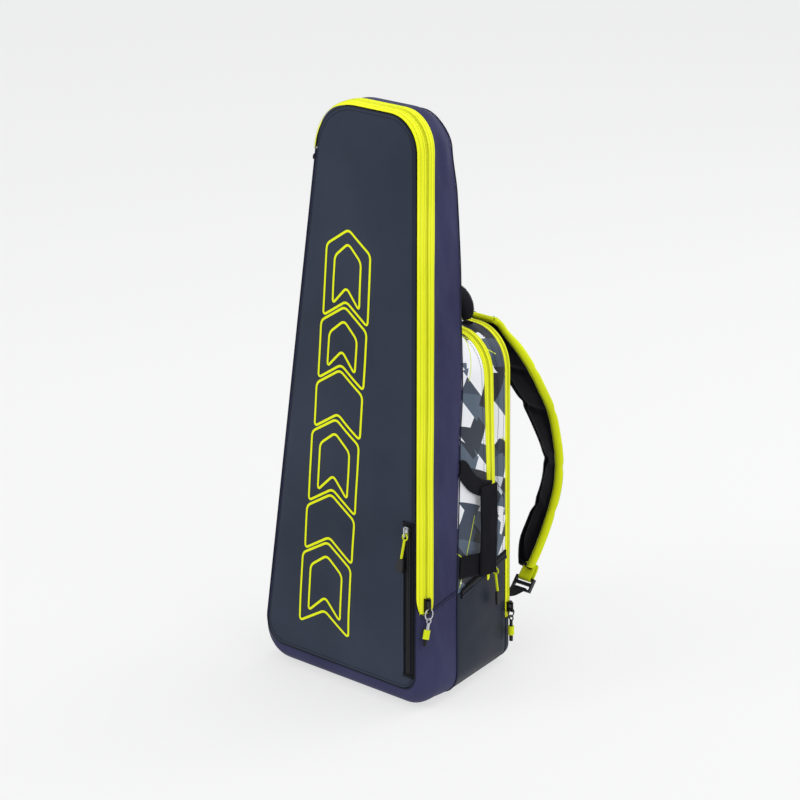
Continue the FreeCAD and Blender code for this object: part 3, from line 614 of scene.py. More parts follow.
def tube(name, path, radius, material, closed=False, sides=8):
    """A round cord along a path of points."""
    verts = []
    count = len(path)
    reference = None
    for i, point in enumerate(path):
        before = path[(i - 1) % count] if closed or i else point
        after = path[(i + 1) % count] if closed or i < count - 1 else point
        tangent = (after - before).normalized()
        if reference is None:
            reference = tangent.orthogonal().normalized()
        reference = (reference - tangent * reference.dot(tangent)).normalized()
        second = tangent.cross(reference)
        for k in range(sides):
            angle = 2 * math.pi * k / sides
            verts.append(point + (reference * math.cos(angle) + second * math.sin(angle)) * radius)
    return clean(finished_mesh(name, verts, ring_faces(count, sides, closed), material))


def repeater():
    """A tree that sets one unit after another along a path, facing the path's outward vector."""
    tree = bpy.data.node_groups.new("set_along_path", "GeometryNodeTree")
    for label, kind in (("Geometry", "NodeSocketGeometry"), ("Unit", "NodeSocketObject"),
                        ("Pitch", "NodeSocketFloat"), ("Finish", "NodeSocketMaterial")):
        tree.interface.new_socket(label, in_out="INPUT", socket_type=kind)
    tree.interface.new_socket("Geometry", in_out="OUTPUT", socket_type="NodeSocketGeometry")
    make = tree.nodes.new
    source, result = make("NodeGroupInput"), make("NodeGroupOutput")
    curve = make("GeometryNodeMeshToCurve")
    even = make("GeometryNodeResampleCurve")
    even.mode = "LENGTH"
    unit = make("GeometryNodeObjectInfo")
    facing = make("GeometryNodeInputNamedAttribute")
    facing.data_type = "FLOAT_VECTOR"
    facing.inputs["Name"].default_value = "outward"
    tangent = make("GeometryNodeInputTangent")
    stand = make("FunctionNodeAlignRotationToVector")
    stand.axis = "Z"
    along = make("FunctionNodeAlignRotationToVector")
    along.axis = "X"
    along.pivot_axis = "Z"
    place = make("GeometryNodeInstanceOnPoints")
    real = make("GeometryNodeRealizeInstances")
    paint = make("GeometryNodeSetMaterial")
    for start, output, end, entry in (
            (source, "Geometry", curve, "Mesh"), (curve, "Curve", even, "Curve"), (source, "Pitch", even, "Length"),
            (source, "Unit", unit, "Object"), (facing, "Attribute", stand, "Vector"),
            (stand, "Rotation", along, "Rotation"), (tangent, "Tangent", along, "Vector"),
            (even, "Curve", place, "Points"), (unit, "Geometry", place, "Instance"),
            (along, "Rotation", place, "Rotation"), (place, "Instances", real, "Geometry"),
            (real, "Geometry", paint, "Geometry"), (source, "Finish", paint, "Material"),
            (paint, "Geometry", result, "Geometry")):
        tree.links.new(start.outputs[output], end.inputs[entry])
    return tree


REPEATER = repeater()
PIPING = 0.0008
STITCH = (0.0026, 0.0007, 0.00045)
STITCH_PITCH = 0.0034
STITCH_INSET = 0.0042


def pill(length, width, rise):
    """A low rounded unit: a stitch or a coil of a zip, lying along X and standing up Z."""
    verts = [(x * length, y * width * grow, z * rise * grow)
             for x, grow in ((-0.5, 0.35), (-0.3, 1.0), (0.3, 1.0), (0.5, 0.35))
             for y, z in ((-0.5, 0.0), (-0.3, 0.8), (0.3, 0.8), (0.5, 0.0))]
    return clean(finished_mesh("unit", verts, ring_faces(4, 4)))


def along_path(name, path, facing, pitch, size, material, closed=False):
    """Repeats a unit of a size along a path. facing gives each point's outward direction."""
    unit = pill(*size)
    verts = [tuple(p) for p in path]
    edges = [(i, i + 1) for i in range(len(path) - 1)]
    if closed:
        edges.append((len(path) - 1, 0))
    mesh = bpy.data.meshes.new(name)
    mesh.from_pydata(verts, edges, [])
    layer = mesh.attributes.new("outward", "FLOAT_VECTOR", "POINT")
    for value, direction in zip(layer.data, facing):
        value.vector = tuple(direction)
    obj = in_scene(name, mesh)
    modifier = obj.modifiers.new("repeat", "NODES")
    modifier.node_group = REPEATER
    values = {"Unit": unit, "Pitch": pitch, "Finish": material}
    for item in REPEATER.interface.items_tree:
        if item.in_out == "INPUT" and item.name in values:
            modifier[item.identifier] = values[item.name]
    apply_modifiers(obj)
    bpy.data.objects.remove(unit, do_unlink=True)
    shade_smooth(obj.data)
    return obj


def stitched(name, path, facing, thread, body, slot, pitch=STITCH_PITCH, size=STITCH, closed=False):
    """A row of stitches along a path."""
    return belongs(along_path(name, path, facing, pitch, size, thread, closed), body, slot)


edge_path = [on_face(x + nx * 0.0004, w + nw * 0.0004, 0.0004) for x, w, nx, nw in PANEL_LINE]
belongs(tube("front_panel_piping", edge_path, PIPING, STITCH_THREAD, closed=True, sides=6), None, "coated_slate")
edge_path = []
for px, pw, nx, nw in PANEL_LINE:
    x, w = px - nx * STITCH_INSET, pw - nw * STITCH_INSET
    edge_path.append(panel_place(half_width(w), x, w) + FACE_OUT * 0.0001)
stitched("front_panel_stitches", edge_path, [FACE_OUT] * COUNT, STITCH_THREAD, None, "coated_slate", closed=True)

# ---------------------------------------------------------------------------
# Racket zip: two lime tapes with a reversed coil between them, sewn to the
# panel's edge and to the gusset. The coil's two sides part when it opens.

ZIP_MIDDLE = 0.0145
TAPE_WALL, TAPE_LIFT = 0.0016, 0.0009
COIL = (0.0014, 0.0028, 0.0007)
COIL_PITCH, COIL_HALF_GAP = 0.0017, 0.0017
COIL_TONE = cloth_material("lime_coil", (216, 222, 30), (238, 242, 56), 0.5, woven(2400, 0.1), 0.00004)


def rounded_foot(w, near, far):
    """Pulls the tape's edge in towards the coil just above the zip's lower end."""
    rise = (w - ZIP_START) / 0.011
    if w > 0.3 or rise > 1:
        return far
    return near + (far - near) * math.sqrt(max(0.0, 1 - (1 - max(0.0, rise)) ** 2))


def waver(w):
    """Sideways drift of the sewn tapes, in metres."""
    return noise.noise(Vector((3.1, 0.7, w * 11))) * 0.0010 * smooth_step((w - ZIP_START - 0.02) / 0.03)


front_tape = gusset_sheet("racket_zip_front_tape", LIME,
                          lambda w: rounded_foot(w, ZIP_MIDDLE - 0.003, 0.0004),
                          lambda w: ZIP_MIDDLE - 0.0001 + waver(w), on_zip, 4, TAPE_LIFT)
back_tape = gusset_sheet("racket_zip_back_tape", LIME, lambda w: ZIP_MIDDLE + 0.0001 + waver(w),
                         lambda w: rounded_foot(w, ZIP_MIDDLE + 0.003, ZIP_BAND + 0.0014) + waver(w + 0.3), on_zip,
                         4, TAPE_LIFT)
belongs(thicken(front_tape, TAPE_WALL), None, "lime_tape", "racket_zip_tape_flap", "racket_zip_tape_lower")
belongs(thicken(back_tape, TAPE_WALL), "root", "lime_tape", "racket_zip_tape_body")


def gusset_path(depth, lift):
    """Points and outward directions along the zip band at one depth."""
    path, facing = [], []
    for i in range(COUNT):
        if on_zip(i):
            path.append(gusset_point(i, depth + waver(GUSSET_LINE[i][1]), lift))
            facing.append(Vector((GUSSET_LINE[i][2], 0, GUSSET_LINE[i][3])).normalized())
    return path, facing


for label, side, body, node in (("front", -1, None, "racket_zip_coil_flap"),
                                ("back", 1, "root", "racket_zip_coil_body")):
    path, facing = gusset_path(ZIP_MIDDLE + side * COIL_HALF_GAP, TAPE_LIFT)
    coil = along_path("racket_zip_coil_" + label, path, facing, COIL_PITCH, COIL, COIL_TONE)
    belongs(coil, body, "lime_tape", node)
LIME_THREAD = cloth_material("lime_thread", (190, 202, 24), (226, 234, 70), 0.6, woven(2200, 0.2), 0.00005)
ZIP_STITCH_PITCH, ZIP_STITCH_GAP = 0.0032, 0.0058
for label, depth, body in (("front", 0.0035, None), ("middle", ZIP_MIDDLE - ZIP_STITCH_GAP, None),
                           ("centre", ZIP_MIDDLE + ZIP_STITCH_GAP, "root"), ("back", ZIP_BAND - 0.0012, "root")):
    stitched("racket_zip_stitches_" + label, *gusset_path(depth, TAPE_LIFT + 0.0001), LIME_THREAD, body, "lime_tape",
             ZIP_STITCH_PITCH)

# ---------------------------------------------------------------------------
# Seams of the racket gusset: dark piping along its rear edge, and a joining
# seam on the right side, rising from the zip's lower end to the rear.

DARK_NAVY = cloth_material("navy_piping", (30, 31, 50), (42, 43, 66), 0.6, woven(1400, 0.3), 0.0001)
seam_path = [gusset_point(i, racket_depth(GUSSET_LINE[i][1]) - PIPING, 0.0006) for i in range(COUNT)]
for point in seam_path:
    point.z = max(point.z, PIPING)
belongs(tube("racket_rear_piping", seam_path, PIPING, DARK_NAVY, closed=True), "root", "navy_cloth")
LOW_SEAM_STEPS = 40


def gusset_at(w, depth, lift):
    """A point on the gusset's right side, at any distance up."""
    i = next(k for k in range(COUNT - 1)
             if GUSSET_LINE[k][0] > 0.1 and GUSSET_LINE[k][1] <= w < GUSSET_LINE[k + 1][1])
    low, high = GUSSET_LINE[i][1], GUSSET_LINE[i + 1][1]
    return gusset_point(i, depth, lift).lerp(gusset_point(i + 1, depth, lift), (w - low) / (high - low))


def low_seam_path(low, lift):
    """A line across the right side, rising as it goes back."""
    steps = [k / LOW_SEAM_STEPS for k in range(LOW_SEAM_STEPS + 1)]
    return [gusset_at(low + 0.014 * share, 0.006 + 0.068 * share, lift) for share in steps]


belongs(tube("racket_low_seam", low_seam_path(0.130, 0.0004), 0.0006, DARK_NAVY, sides=6), "root", "navy_cloth")
stitched("racket_low_stitches", low_seam_path(0.126, 0.0002), [Vector((1, 0, 0.08))] * (LOW_SEAM_STEPS + 1),
         DARK_NAVY, "root", "navy_cloth", ZIP_STITCH_PITCH)

# ---------------------------------------------------------------------------
# End tab of the racket zip: a folded scrap of dark webbing sewn over the upper
# end of the tapes, at the left shoulder.

tab_columns = [i for i in range(COUNT) if GUSSET_LINE[i][0] < 0
               and ZIP_END - 0.014 < GUSSET_LINE[i][1] < ZIP_END + 0.006]
tab_points = [gusset_point(i, 0.0015 + (ZIP_BAND - 0.003) * row / 6, 0.0026) for i in tab_columns for row in range(7)]
end_tab = clean(finished_mesh("racket_zip_end_tab", tab_points, grid_faces(len(tab_columns), 6, False), BLACK_WEB))
outward(end_tab, (tab_points[3], (-1, 0, 0)))
belongs(thicken(end_tab, TAPE_WALL), "root", "black_webbing")

# ---------------------------------------------------------------------------
# Pack body: a padded box behind the racket compartment, narrower at the back.
# Its cloth carries a print of grey, white and black shards crossed by thin
# lime lines. The front shell and the gusset behind the main zip are of it.

PACK_HEIGHT, PACK_BACK_HALF, PACK_BACK = 0.465, 0.111, 0.103
REAR_ROUND, BOTTOM_BAND = 0.020, 0.012
MAIN_ZIP, MAIN_ZIP_END, REAR_ZIP, REAR_ZIP_FOOT = 0.052, 0.068, 0.094, 0.062
POCKET_HEIGHT, POCKET_RISE = 0.134, 0.17
TANGENT = math.tan(LEAN)
pack_length = PACK_HEIGHT / math.cos(LEAN)
PACK_FRONT_LINE = tapered(0.0, 0.0, (0.038, 0.028, 0.052, 0.052), pack_length)
PACK_REAR_LINE = rounded_outline([(-PACK_BACK_HALF, 0), (PACK_BACK_HALF, 0), (PACK_BACK_HALF, PACK_HEIGHT),
                                  (-PACK_BACK_HALF, PACK_HEIGHT)], [0.038, 0.022, 0.052, 0.052])


def pack_point(i, y, lift=0.0):
    """A point on the pack body's outside, where the outline's line to the back reaches y."""
    x, w, nx, nw = PACK_FRONT_LINE[i]
    start = on_face(x, w, RACKET_DEPTH)
    rx, rz, rnx, rnz = PACK_REAR_LINE[i]
    share = (y - start.y) / (PACK_BACK - start.y)
    place = start.lerp(Vector((rx, PACK_BACK, rz)), share)
    facing = Vector((nx, 0, nw)).lerp(Vector((rnx, 0, rnz)), share).normalized()
    place += facing * (lift if place.z > 0.01 else 0.0)
    beyond = Vector((0, place.y - (PACK_BACK - REAR_ROUND), place.z - REAR_ROUND))
    if beyond.y > 0 and beyond.z < 0 and beyond.length > REAR_ROUND:
        beyond *= REAR_ROUND / beyond.length
        place.y, place.z = PACK_BACK - REAR_ROUND + beyond.y, REAR_ROUND + beyond.z
    place.z = max(place.z, 0.0)
    return place


def cut_sheet(obj, point, normal):
    """Cuts a sheet along a plane and drops the side the normal points to."""
    work = bmesh.new()
    work.from_mesh(obj.data)
    bmesh.ops.bisect_plane(work, geom=work.verts[:] + work.edges[:] + work.faces[:], dist=0.00001,
                           plane_co=point, plane_no=normal, clear_outer=True)
    work.to_mesh(obj.data)
    work.free()


def settled(path, obj, lift=0.0002):
    """Moves a path onto an object's surface."""
    made, facing = [], []
    for point in path:
        _, near, normal, _ = obj.closest_point_on_mesh(point)
        made.append(near + normal * lift)
        facing.append(normal.copy())
    return made, facing


def pack_sheet(name, material, start, end, rows, swell=0.0, lift=0.0, foot=None, head=None):
    """A band of the pack body between two distances back, cut at planes (height, rise) if given."""
    verts = []
    for i in range(COUNT):
        seam = start(i) if callable(start) else start
        for row in range(rows + 1):
            share = row / rows
            y = seam + (end - seam) * share
            rise = swell * math.sin(math.pi * share) ** 0.7
            if swell:
                spot = pack_point(i, y)
                rise += unevenness((spot.x * 0.4, spot.y, spot.z), 0.0022, 5.0) * math.sin(math.pi * share)
                if foot:
                    rise *= smooth_step((spot.z - foot[0] - foot[1] * (y + 0.04) - 0.002) / 0.03)
            verts.append(pack_point(i, y, lift + rise))
    sheet = clean(finished_mesh(name, verts, grid_faces(COUNT, rows, True), material))
    outward(sheet, ((0.12, 0.04, 0.28), (1, 0, 0)))
    if foot:
        cut_sheet(sheet, (0, -0.04, foot[0]), Vector((0, foot[1], -1)))
    if head:
        cut_sheet(sheet, (0, -0.04, head[0]), Vector((0, -head[1], 1)))
    return sheet


def seam_start(i):
    """Where the pack body meets the rear seam of the racket compartment."""
    x, w = PACK_FRONT_LINE[i][:2]
    return FRONT_FOOT_Y + w * math.sin(LEAN) + racket_depth(w) - WALL


PRINT_SHIFT = (3.3, 0.7, 1.9)
PRINT_LINE_HALF = 0.0007
SHARD_TONES = ((0.0, (30, 34, 45)), (0.20, (84, 97, 114)), (0.40, (62, 72, 88)), (0.54, (236, 238, 242)),
               (0.80, (44, 52, 64)), (0.94, (196, 202, 210)))


def shard_print():
    """Flat shards cut by three sets of planes, each shard with a tone of its own, and thin lines."""
    made, tree, shader = new_material("shard_print", Roughness=0.45, Specular_IOR_Level=0.25)
    link = tree.links.new
    shift = tree.nodes.new("ShaderNodeVectorMath")
    shift.inputs[1].default_value = PRINT_SHIFT
    link(object_place(tree), shift.inputs[0])
    place = shift.outputs["Vector"]
    warp = texture(tree, "Voronoi", place, Scale=15)
    split = tree.nodes.new("ShaderNodeSeparateColor")
    link(warp.outputs["Color"], split.inputs["Color"])
    cells, edges = [], []
    for normal, rate, channel in (((0.45, 0.75, 0.62), 31.2, "Red"), ((0.5, -0.80, 0.55), 26.4, "Green"),
                                  ((-0.7, 0.35, 0.95), 20.4, "Blue"), ((0.2, 0.95, -0.38), 14.4, "Red"),
                                  ((0.1, -0.65, -0.75), 12.0, "Green")):
        dot = tree.nodes.new("ShaderNodeVectorMath")
        dot.operation = "DOT_PRODUCT"
        dot.inputs[1].default_value = normal
        link(place, dot.inputs[0])
        along = maths(tree, "MULTIPLY", dot.outputs["Value"], rate)
        cells.append(maths(tree, "FLOOR", maths(tree, "MULTIPLY_ADD", split.outputs[channel], 0.45, along)))
        edges.append(maths(tree, "LESS_THAN", maths(tree, "PINGPONG", along, 0.5), PRINT_LINE_HALF * rate))
    key = tree.nodes.new("ShaderNodeCombineXYZ")
    for socket, cell in zip(key.inputs, cells):
        link(cell, socket)
    chance = texture(tree, "WhiteNoise", key.outputs[0])
    tones = tree.nodes.new("ShaderNodeValToRGB")
    tones.color_ramp.interpolation = "CONSTANT"
    while len(tones.color_ramp.elements) < len(SHARD_TONES):
        tones.color_ramp.elements.new(0.5)
    for element, (at, colour) in zip(tones.color_ramp.elements, SHARD_TONES):
        element.position = at
        element.color = srgb(*colour)
    link(chance.outputs["Value"], tones.inputs["Fac"])
    which = texture(tree, "Noise", place, Scale=11)
    drawn = maths(tree, "MULTIPLY", maths(tree, "MAXIMUM", edges[3], edges[4]),
                  maths(tree, "GREATER_THAN", which.outputs["Fac"], 0.49))
    mix = tree.nodes.new("ShaderNodeMix")
    mix.data_type = "RGBA"
    link(drawn, mix.inputs["Factor"])
    link(tones.outputs["Color"], mix.inputs[6])
    mix.inputs[7].default_value = srgb(208, 222, 40)
    grain = tree.nodes.new("ShaderNodeGroup")
    grain.node_tree = WEAVE
    grain.inputs["Threads per metre"].default_value = 1100
    shade = tree.nodes.new("ShaderNodeMix")
    shade.data_type = "RGBA"
    shade.blend_type = "MULTIPLY"
    shade.inputs["Factor"].default_value = 0.16
    link(mix.outputs[2], shade.inputs[6])
    grey = tree.nodes.new("ShaderNodeCombineColor")
    for socket in grey.inputs:
        link(grain.outputs["Height"], socket)
    link(grey.outputs[0], shade.inputs[7])
    link(shade.outputs[2], shader.inputs["Base Color"])
    bumped(tree, grain.outputs["Height"], 0.0002)
    return made


PRINT = shard_print()
POCKET_FOOT = (POCKET_HEIGHT, POCKET_RISE)
shell_cloth = pack_sheet("pack_shell_cloth", PRINT, seam_start, MAIN_ZIP, 12, 0.003, foot=POCKET_FOOT)
gusset_cloth = pack_sheet("pack_gusset_cloth", PRINT, MAIN_ZIP_END, REAR_ZIP, 8, 0.0025, foot=POCKET_FOOT)
belongs(thicken(shell_cloth, WALL), "root", "printed_cloth", "pack_front_shell")
belongs(thicken(gusset_cloth, WALL), "root", "printed_cloth", "pack_middle_gusset")

# ---------------------------------------------------------------------------
# Main and rear zips of the pack body: lime tapes arching over the top, with
# reversed coils. The outer half of the rear zip belongs to the back panel.

MAIN_MIDDLE, REAR_MIDDLE = 0.060, 0.0985
REAR_COIL = (0.0013, 0.0022, 0.0009)


def pack_path(y, lift, low):
    """Points and outward directions along the pack body at one distance back."""
    path, facing = [], []
    for i in range(COUNT):
        spot = pack_point(i, y, lift)
        if spot.z > low + (POCKET_RISE * (y + 0.04) if y < REAR_ZIP else 0):
            path.append(spot)
            facing.append(Vector((PACK_REAR_LINE[i][2], 0, PACK_REAR_LINE[i][3])).normalized())
    return path, facing


def zip_half(name, y0, y1, body, foot, *replaced):
    """One tape of a zip round the pack body, between two distances back."""
    half = thicken(pack_sheet(name, LIME, y0, y1, 3, 0.0, TAPE_LIFT, foot=foot), TAPE_WALL)
    belongs(half, body, "lime_tape", *replaced)


def pack_run(name, y, size, pitch, material, low, body, *replaced):
    """A row of coils or stitches on a zip of the pack body."""
    path, facing = pack_path(y, TAPE_LIFT + 0.0001, low)
    belongs(along_path(name, path, facing, pitch, size, material), body, "lime_tape", *replaced)


REAR_FOOT = (REAR_ZIP_FOOT + 0.0006, 0.0)
zip_half("main_zip_front_tape", MAIN_ZIP - 0.0012, MAIN_MIDDLE - 0.0005, "root", POCKET_FOOT, "main_zip_tape")
zip_half("main_zip_back_tape", MAIN_MIDDLE + 0.0005, MAIN_ZIP_END + 0.0012, "root", POCKET_FOOT)
zip_half("rear_zip_front_tape", REAR_ZIP - 0.0012, REAR_MIDDLE - 0.0004, "root", REAR_FOOT, "rear_zip_tape_body")
zip_half("rear_zip_back_tape", REAR_MIDDLE + 0.0004, PACK_BACK, "back_panel", REAR_FOOT, "rear_zip_tape_panel")
for side, label in ((-1, "front"), (1, "back")):
    pack_run("main_zip_coil_" + label, MAIN_MIDDLE + side * COIL_HALF_GAP, COIL, COIL_PITCH, COIL_TONE,
             POCKET_HEIGHT + 0.004, "root", *(("pack_zip_coils",) if side < 0 else ()))
    pack_run("main_zip_stitches_" + label, MAIN_MIDDLE + side * 0.0062, STITCH, ZIP_STITCH_PITCH, LIME_THREAD,
             POCKET_HEIGHT, "root")
    pack_run("rear_zip_coil_" + label, REAR_MIDDLE + side * 0.0013, REAR_COIL, COIL_PITCH, COIL_TONE,
             REAR_ZIP_FOOT + 0.001, "root" if side < 0 else "back_panel")
for y, label in ((MAIN_ZIP - 0.0045, "front"), (MAIN_ZIP_END + 0.0045, "middle"), (REAR_ZIP - 0.0045, "rear")):
    path, facing = settled(pack_path(y, 0.02, POCKET_HEIGHT)[0], shell_cloth if label == "front" else gusset_cloth)
    stitched("pack_seam_" + label, path, facing, STITCH_THREAD, "root", "printed_cloth", 0.0036,
             (0.0022, 0.0009, 0.0004))

# ---------------------------------------------------------------------------
# Lower sides of the pack body: coated slate cloth from the side pockets' top
# edge down, and the bottom, whose cloth turns up at the back to the fold.

def rear_face_place(edge, x, w):
    """A point on the pack body's back, whose foot rolls under."""
    return Vector((x, PACK_BACK - REAR_ROUND + math.sqrt(
        max(0.0, REAR_ROUND ** 2 - max(0.0, REAR_ROUND - w) ** 2)), w))


# These lower pieces take the darker slate copy, which paints in shade.
side_cloth = pack_sheet("pack_side_cloth", PAINTED_SHADE_SLATE, seam_start, REAR_ZIP, 14, 0.002, foot=(BOTTOM_BAND, 0.0),
                        head=POCKET_FOOT)
belongs(thicken(side_cloth, WALL), "root", "coated_slate", "pack_side_panel_right", "pack_side_panel_left")
bottom_cloth = pack_sheet("pack_bottom_cloth", PAINTED_SHADE_SLATE, seam_start, PACK_BACK, 14, head=(BOTTOM_BAND + 0.0002, 0.0))
belongs(thicken(bottom_cloth, WALL), "root", "coated_slate", "pack_bottom")
rear_foot = pack_sheet("pack_rear_foot", PAINTED_SHADE_SLATE, REAR_ZIP - 0.001, PACK_BACK, 4, head=(REAR_ZIP_FOOT, 0.0))
rear_face = face_grid("pack_rear_face", PAINTED_SHADE_SLATE, PACK_REAR_LINE, rear_face_place, 30)
outward(rear_face, ((0, PACK_BACK, 0.04), (0, 1, 0)))
cut_sheet(rear_face, (0, 0, REAR_ZIP_FOOT), Vector((0, 0, 1)))
for piece in (rear_foot, rear_face):
    belongs(thicken(piece, WALL - 0.0004), "root", "coated_slate")

# ---------------------------------------------------------------------------
# Screen print on the front panel: a column of interlocking outlined chevrons
# in lime ink, a fifth of a millimetre thick, running up beside the middle.

INK = cloth_material("lime_ink", (222, 230, 12), (234, 242, 24), 0.5, coated(1400), 0.00004)
PRINT_FOOT, PRINT_HEAD, PRINT_LINE = 0.070, 0.612, 0.0032
PRINT_LEFT, PRINT_RIGHT, PRINT_DRIFT = -0.073, 0.018, 0.020
CHEVRON_DROP, CHEVRON_GAP = 0.026, 0.0075
INK_LIFT, INK_CORNER, INK_INSET = 0.00034, 0.007, 0.016
CHEVRONS = (0.074, 0.046, 0.074, 0.046, 0.060, 0.074)


def soft_polygon(corners, radius, steps=5):
    """Points round any polygon with its corners eased: (x, w)."""
    made = []
    for k, corner in enumerate(corners):
        c = Vector(corner)
        before, after = Vector(corners[k - 1]) - c, Vector(corners[(k + 1) % len(corners)]) - c
        reach = min(radius, before.length * 0.4, after.length * 0.4)
        start, end = c + before.normalized() * reach, c + after.normalized() * reach
        for step in range(steps + 1):
            t = step / steps
            made.append(start * (1 - t) ** 2 + c * 2 * t * (1 - t) + end * t * t)
        for step in range(1, 14):
            following = Vector(corners[(k + 1) % len(corners)])
            far = following + (c - following).normalized() * min(radius, after.length * 0.4)
            made.append(end.lerp(far, step / 14))
    return made


def ink_line(points):
    """A closed line of ink along points on the panel, as mesh points and faces."""
    verts = []
    for k, point in enumerate(points):
        run = (points[(k + 1) % len(points)] - points[k - 1]).normalized()
        for shift in (-PRINT_LINE / 2, 0.0, PRINT_LINE / 2):
            x, w = point.x + run.y * shift, point.y - run.x * shift
            verts.append(panel_place(half_width(w), x, w) + FACE_OUT * INK_LIFT)
    return verts, grid_faces(len(points), 2, True)


def chevron(low, high, inset):
    """The six corners of a chevron that points up, between two heights."""
    slide = PRINT_DRIFT * (low - PRINT_FOOT) / (PRINT_HEAD - PRINT_FOOT)
    left, side = PRINT_LEFT + slide + inset, PRINT_RIGHT + slide * 0.3 - inset
    middle = (left + side) / 2
    lift = inset * 1.15
    return [(left, low + lift), (middle, low + CHEVRON_DROP + lift), (side, low + lift),
            (side, high - lift * 0.7), (middle, high + CHEVRON_DROP - lift), (left, high - lift * 0.7)]


ink_verts, ink_faces = [], []
spare = PRINT_HEAD - PRINT_FOOT - CHEVRON_DROP - CHEVRON_GAP * (len(CHEVRONS) - 1)
foot = PRINT_FOOT
for size in CHEVRONS:
    tall = spare * size / sum(CHEVRONS)
    for inset in ((0.0, INK_INSET) if size > 0.05 else (0.0,)):
        verts, faces = ink_line(soft_polygon(chevron(foot, foot + tall, inset), INK_CORNER))
        ink_faces += [tuple(index + len(ink_verts) for index in face) for face in faces]
        ink_verts += verts
    foot += tall + CHEVRON_GAP
ink = finished_mesh("front_panel_print", ink_verts, ink_faces, INK)
outward(ink, (ink_verts[0], FACE_OUT))
belongs(ink, None, "lime_tape")

# ---------------------------------------------------------------------------
# Front pocket: a black zip set into the right edge of the front panel, between
# two folded edges of the panel's cloth, with a nylon coil down its middle.

POCKET_FOOT_Z, POCKET_TOP_Z, POCKET_INSET = 0.047, 0.249, 0.015
BLACK_TAPE = cloth_material("black_tape", (10, 11, 15), (22, 23, 29), 0.62, woven(1300, 0.3), 0.00015)
BLACK_COIL = new_material("black_coil", Base_Color=srgb(13, 13, 17), Roughness=0.45)[0]


def pocket_place(z, side, rise):
    """A point beside the front pocket's zip, standing off the panel."""
    w = z / math.cos(LEAN)
    return panel_place(half_width(w), half_width(w) - POCKET_INSET + side, w) + FACE_OUT * rise


def strip(name, place, facing, profile, material, slot, start, end, steps, *replaced):
    """A strip from start to end, from a section of (side, rise) points."""
    verts = []
    for k in range(steps + 1):
        verts += [place(start + (end - start) * k / steps, side, rise) for side, rise in profile]
    made = clean(finished_mesh(name, verts, grid_faces(steps + 1, len(profile) - 1, False), material))
    outward(made, (place((start + end) / 2, 0, 0), facing))
    return belongs(made, "root", slot, *replaced)


strip("pocket_zip_tape_cloth", pocket_place, FACE_OUT, [
    (-0.0100, -0.0002), (-0.0096, 0.0009), (-0.0066, 0.0011), (-0.0062, 0.0006), (-0.0044, 0.0006), (-0.0040, 0.0012),
    (-0.0020, 0.0010), (0.0, 0.0006), (0.0020, 0.0010), (0.0040, 0.0012), (0.0044, 0.0006), (0.0062, 0.0006),
    (0.0066, 0.0011), (0.0088, 0.0009), (0.0092, -0.0002)], BLACK_TAPE, "black_tape", POCKET_FOOT_Z, POCKET_TOP_Z, 60,
      "pocket_zip_tape")
strip("pocket_edge", pocket_place, FACE_OUT, [
    (-0.0118, -0.0002), (-0.0112, 0.0010), (-0.0096, 0.0014), (-0.0086, 0.0012), (-0.0084, 0.0004)], SLATE,
      "coated_slate", POCKET_FOOT_Z - 0.002, POCKET_TOP_Z + 0.001, 60)
for height, label in ((POCKET_FOOT_Z, "low"), (POCKET_TOP_Z - 0.0015, "high")):
    strip("pocket_end_" + label, pocket_place, FACE_OUT, [
        (-0.0100, 0.0002), (-0.0096, 0.0017), (0.0088, 0.0017), (0.0092, 0.0002)], BLACK_TAPE, "black_tape",
          height - 0.0015, height + 0.0030, 4)
for side, label, nodes in ((-0.0016, "left", ["pocket_zip_coil"]), (0.0016, "right", [])):
    path = [pocket_place(POCKET_FOOT_Z + 0.005 + k * 0.002, side, 0.0008) for k in range(97)]
    pocket_coil = along_path("pocket_zip_coil_" + label, path, [FACE_OUT] * len(path), 0.0019,
                             (0.0015, 0.0027, 0.0009), BLACK_COIL)
    belongs(pocket_coil, "root", "black_tape", *nodes)
for side in (-0.0080, 0.0077):
    path = [pocket_place(POCKET_FOOT_Z + 0.002 + k * 0.005, side, 0.0012) for k in range(40)]
    stitched("pocket_zip_stitches", path, [FACE_OUT] * len(path), STITCH_THREAD, "root", "black_tape",
             ZIP_STITCH_PITCH)

# ---------------------------------------------------------------------------
# Right side pocket: a slanted black zip along the top edge of the slate cloth.
# Below it hangs the pocket's own lining, out of sight.

SIDE_FRONT, SIDE_BACK = -0.018, 0.093
RIGHT = Vector((1, 0, 0))


def side_half(z):
    """Half the width at a height, where the pack body meets the racket compartment."""
    return HALF_BASE + (HALF_TOP - HALF_BASE) * z / BAG_HEIGHT


def side_seam(z):
    """How far back the pack body meets the racket compartment at a height."""
    return FRONT_FOOT_Y + z * TANGENT + RACKET_DEPTH


def side_place(y, above_edge, rise):
    """A point on the pack body's flat right side, measured from the side pocket's top edge."""
    z = POCKET_HEIGHT + POCKET_RISE * (y + 0.04) + above_edge
    share = (y - side_seam(z)) / (PACK_BACK - side_seam(z))
    return Vector((side_half(z) + (PACK_BACK_HALF - side_half(z)) * share + rise, y, z))


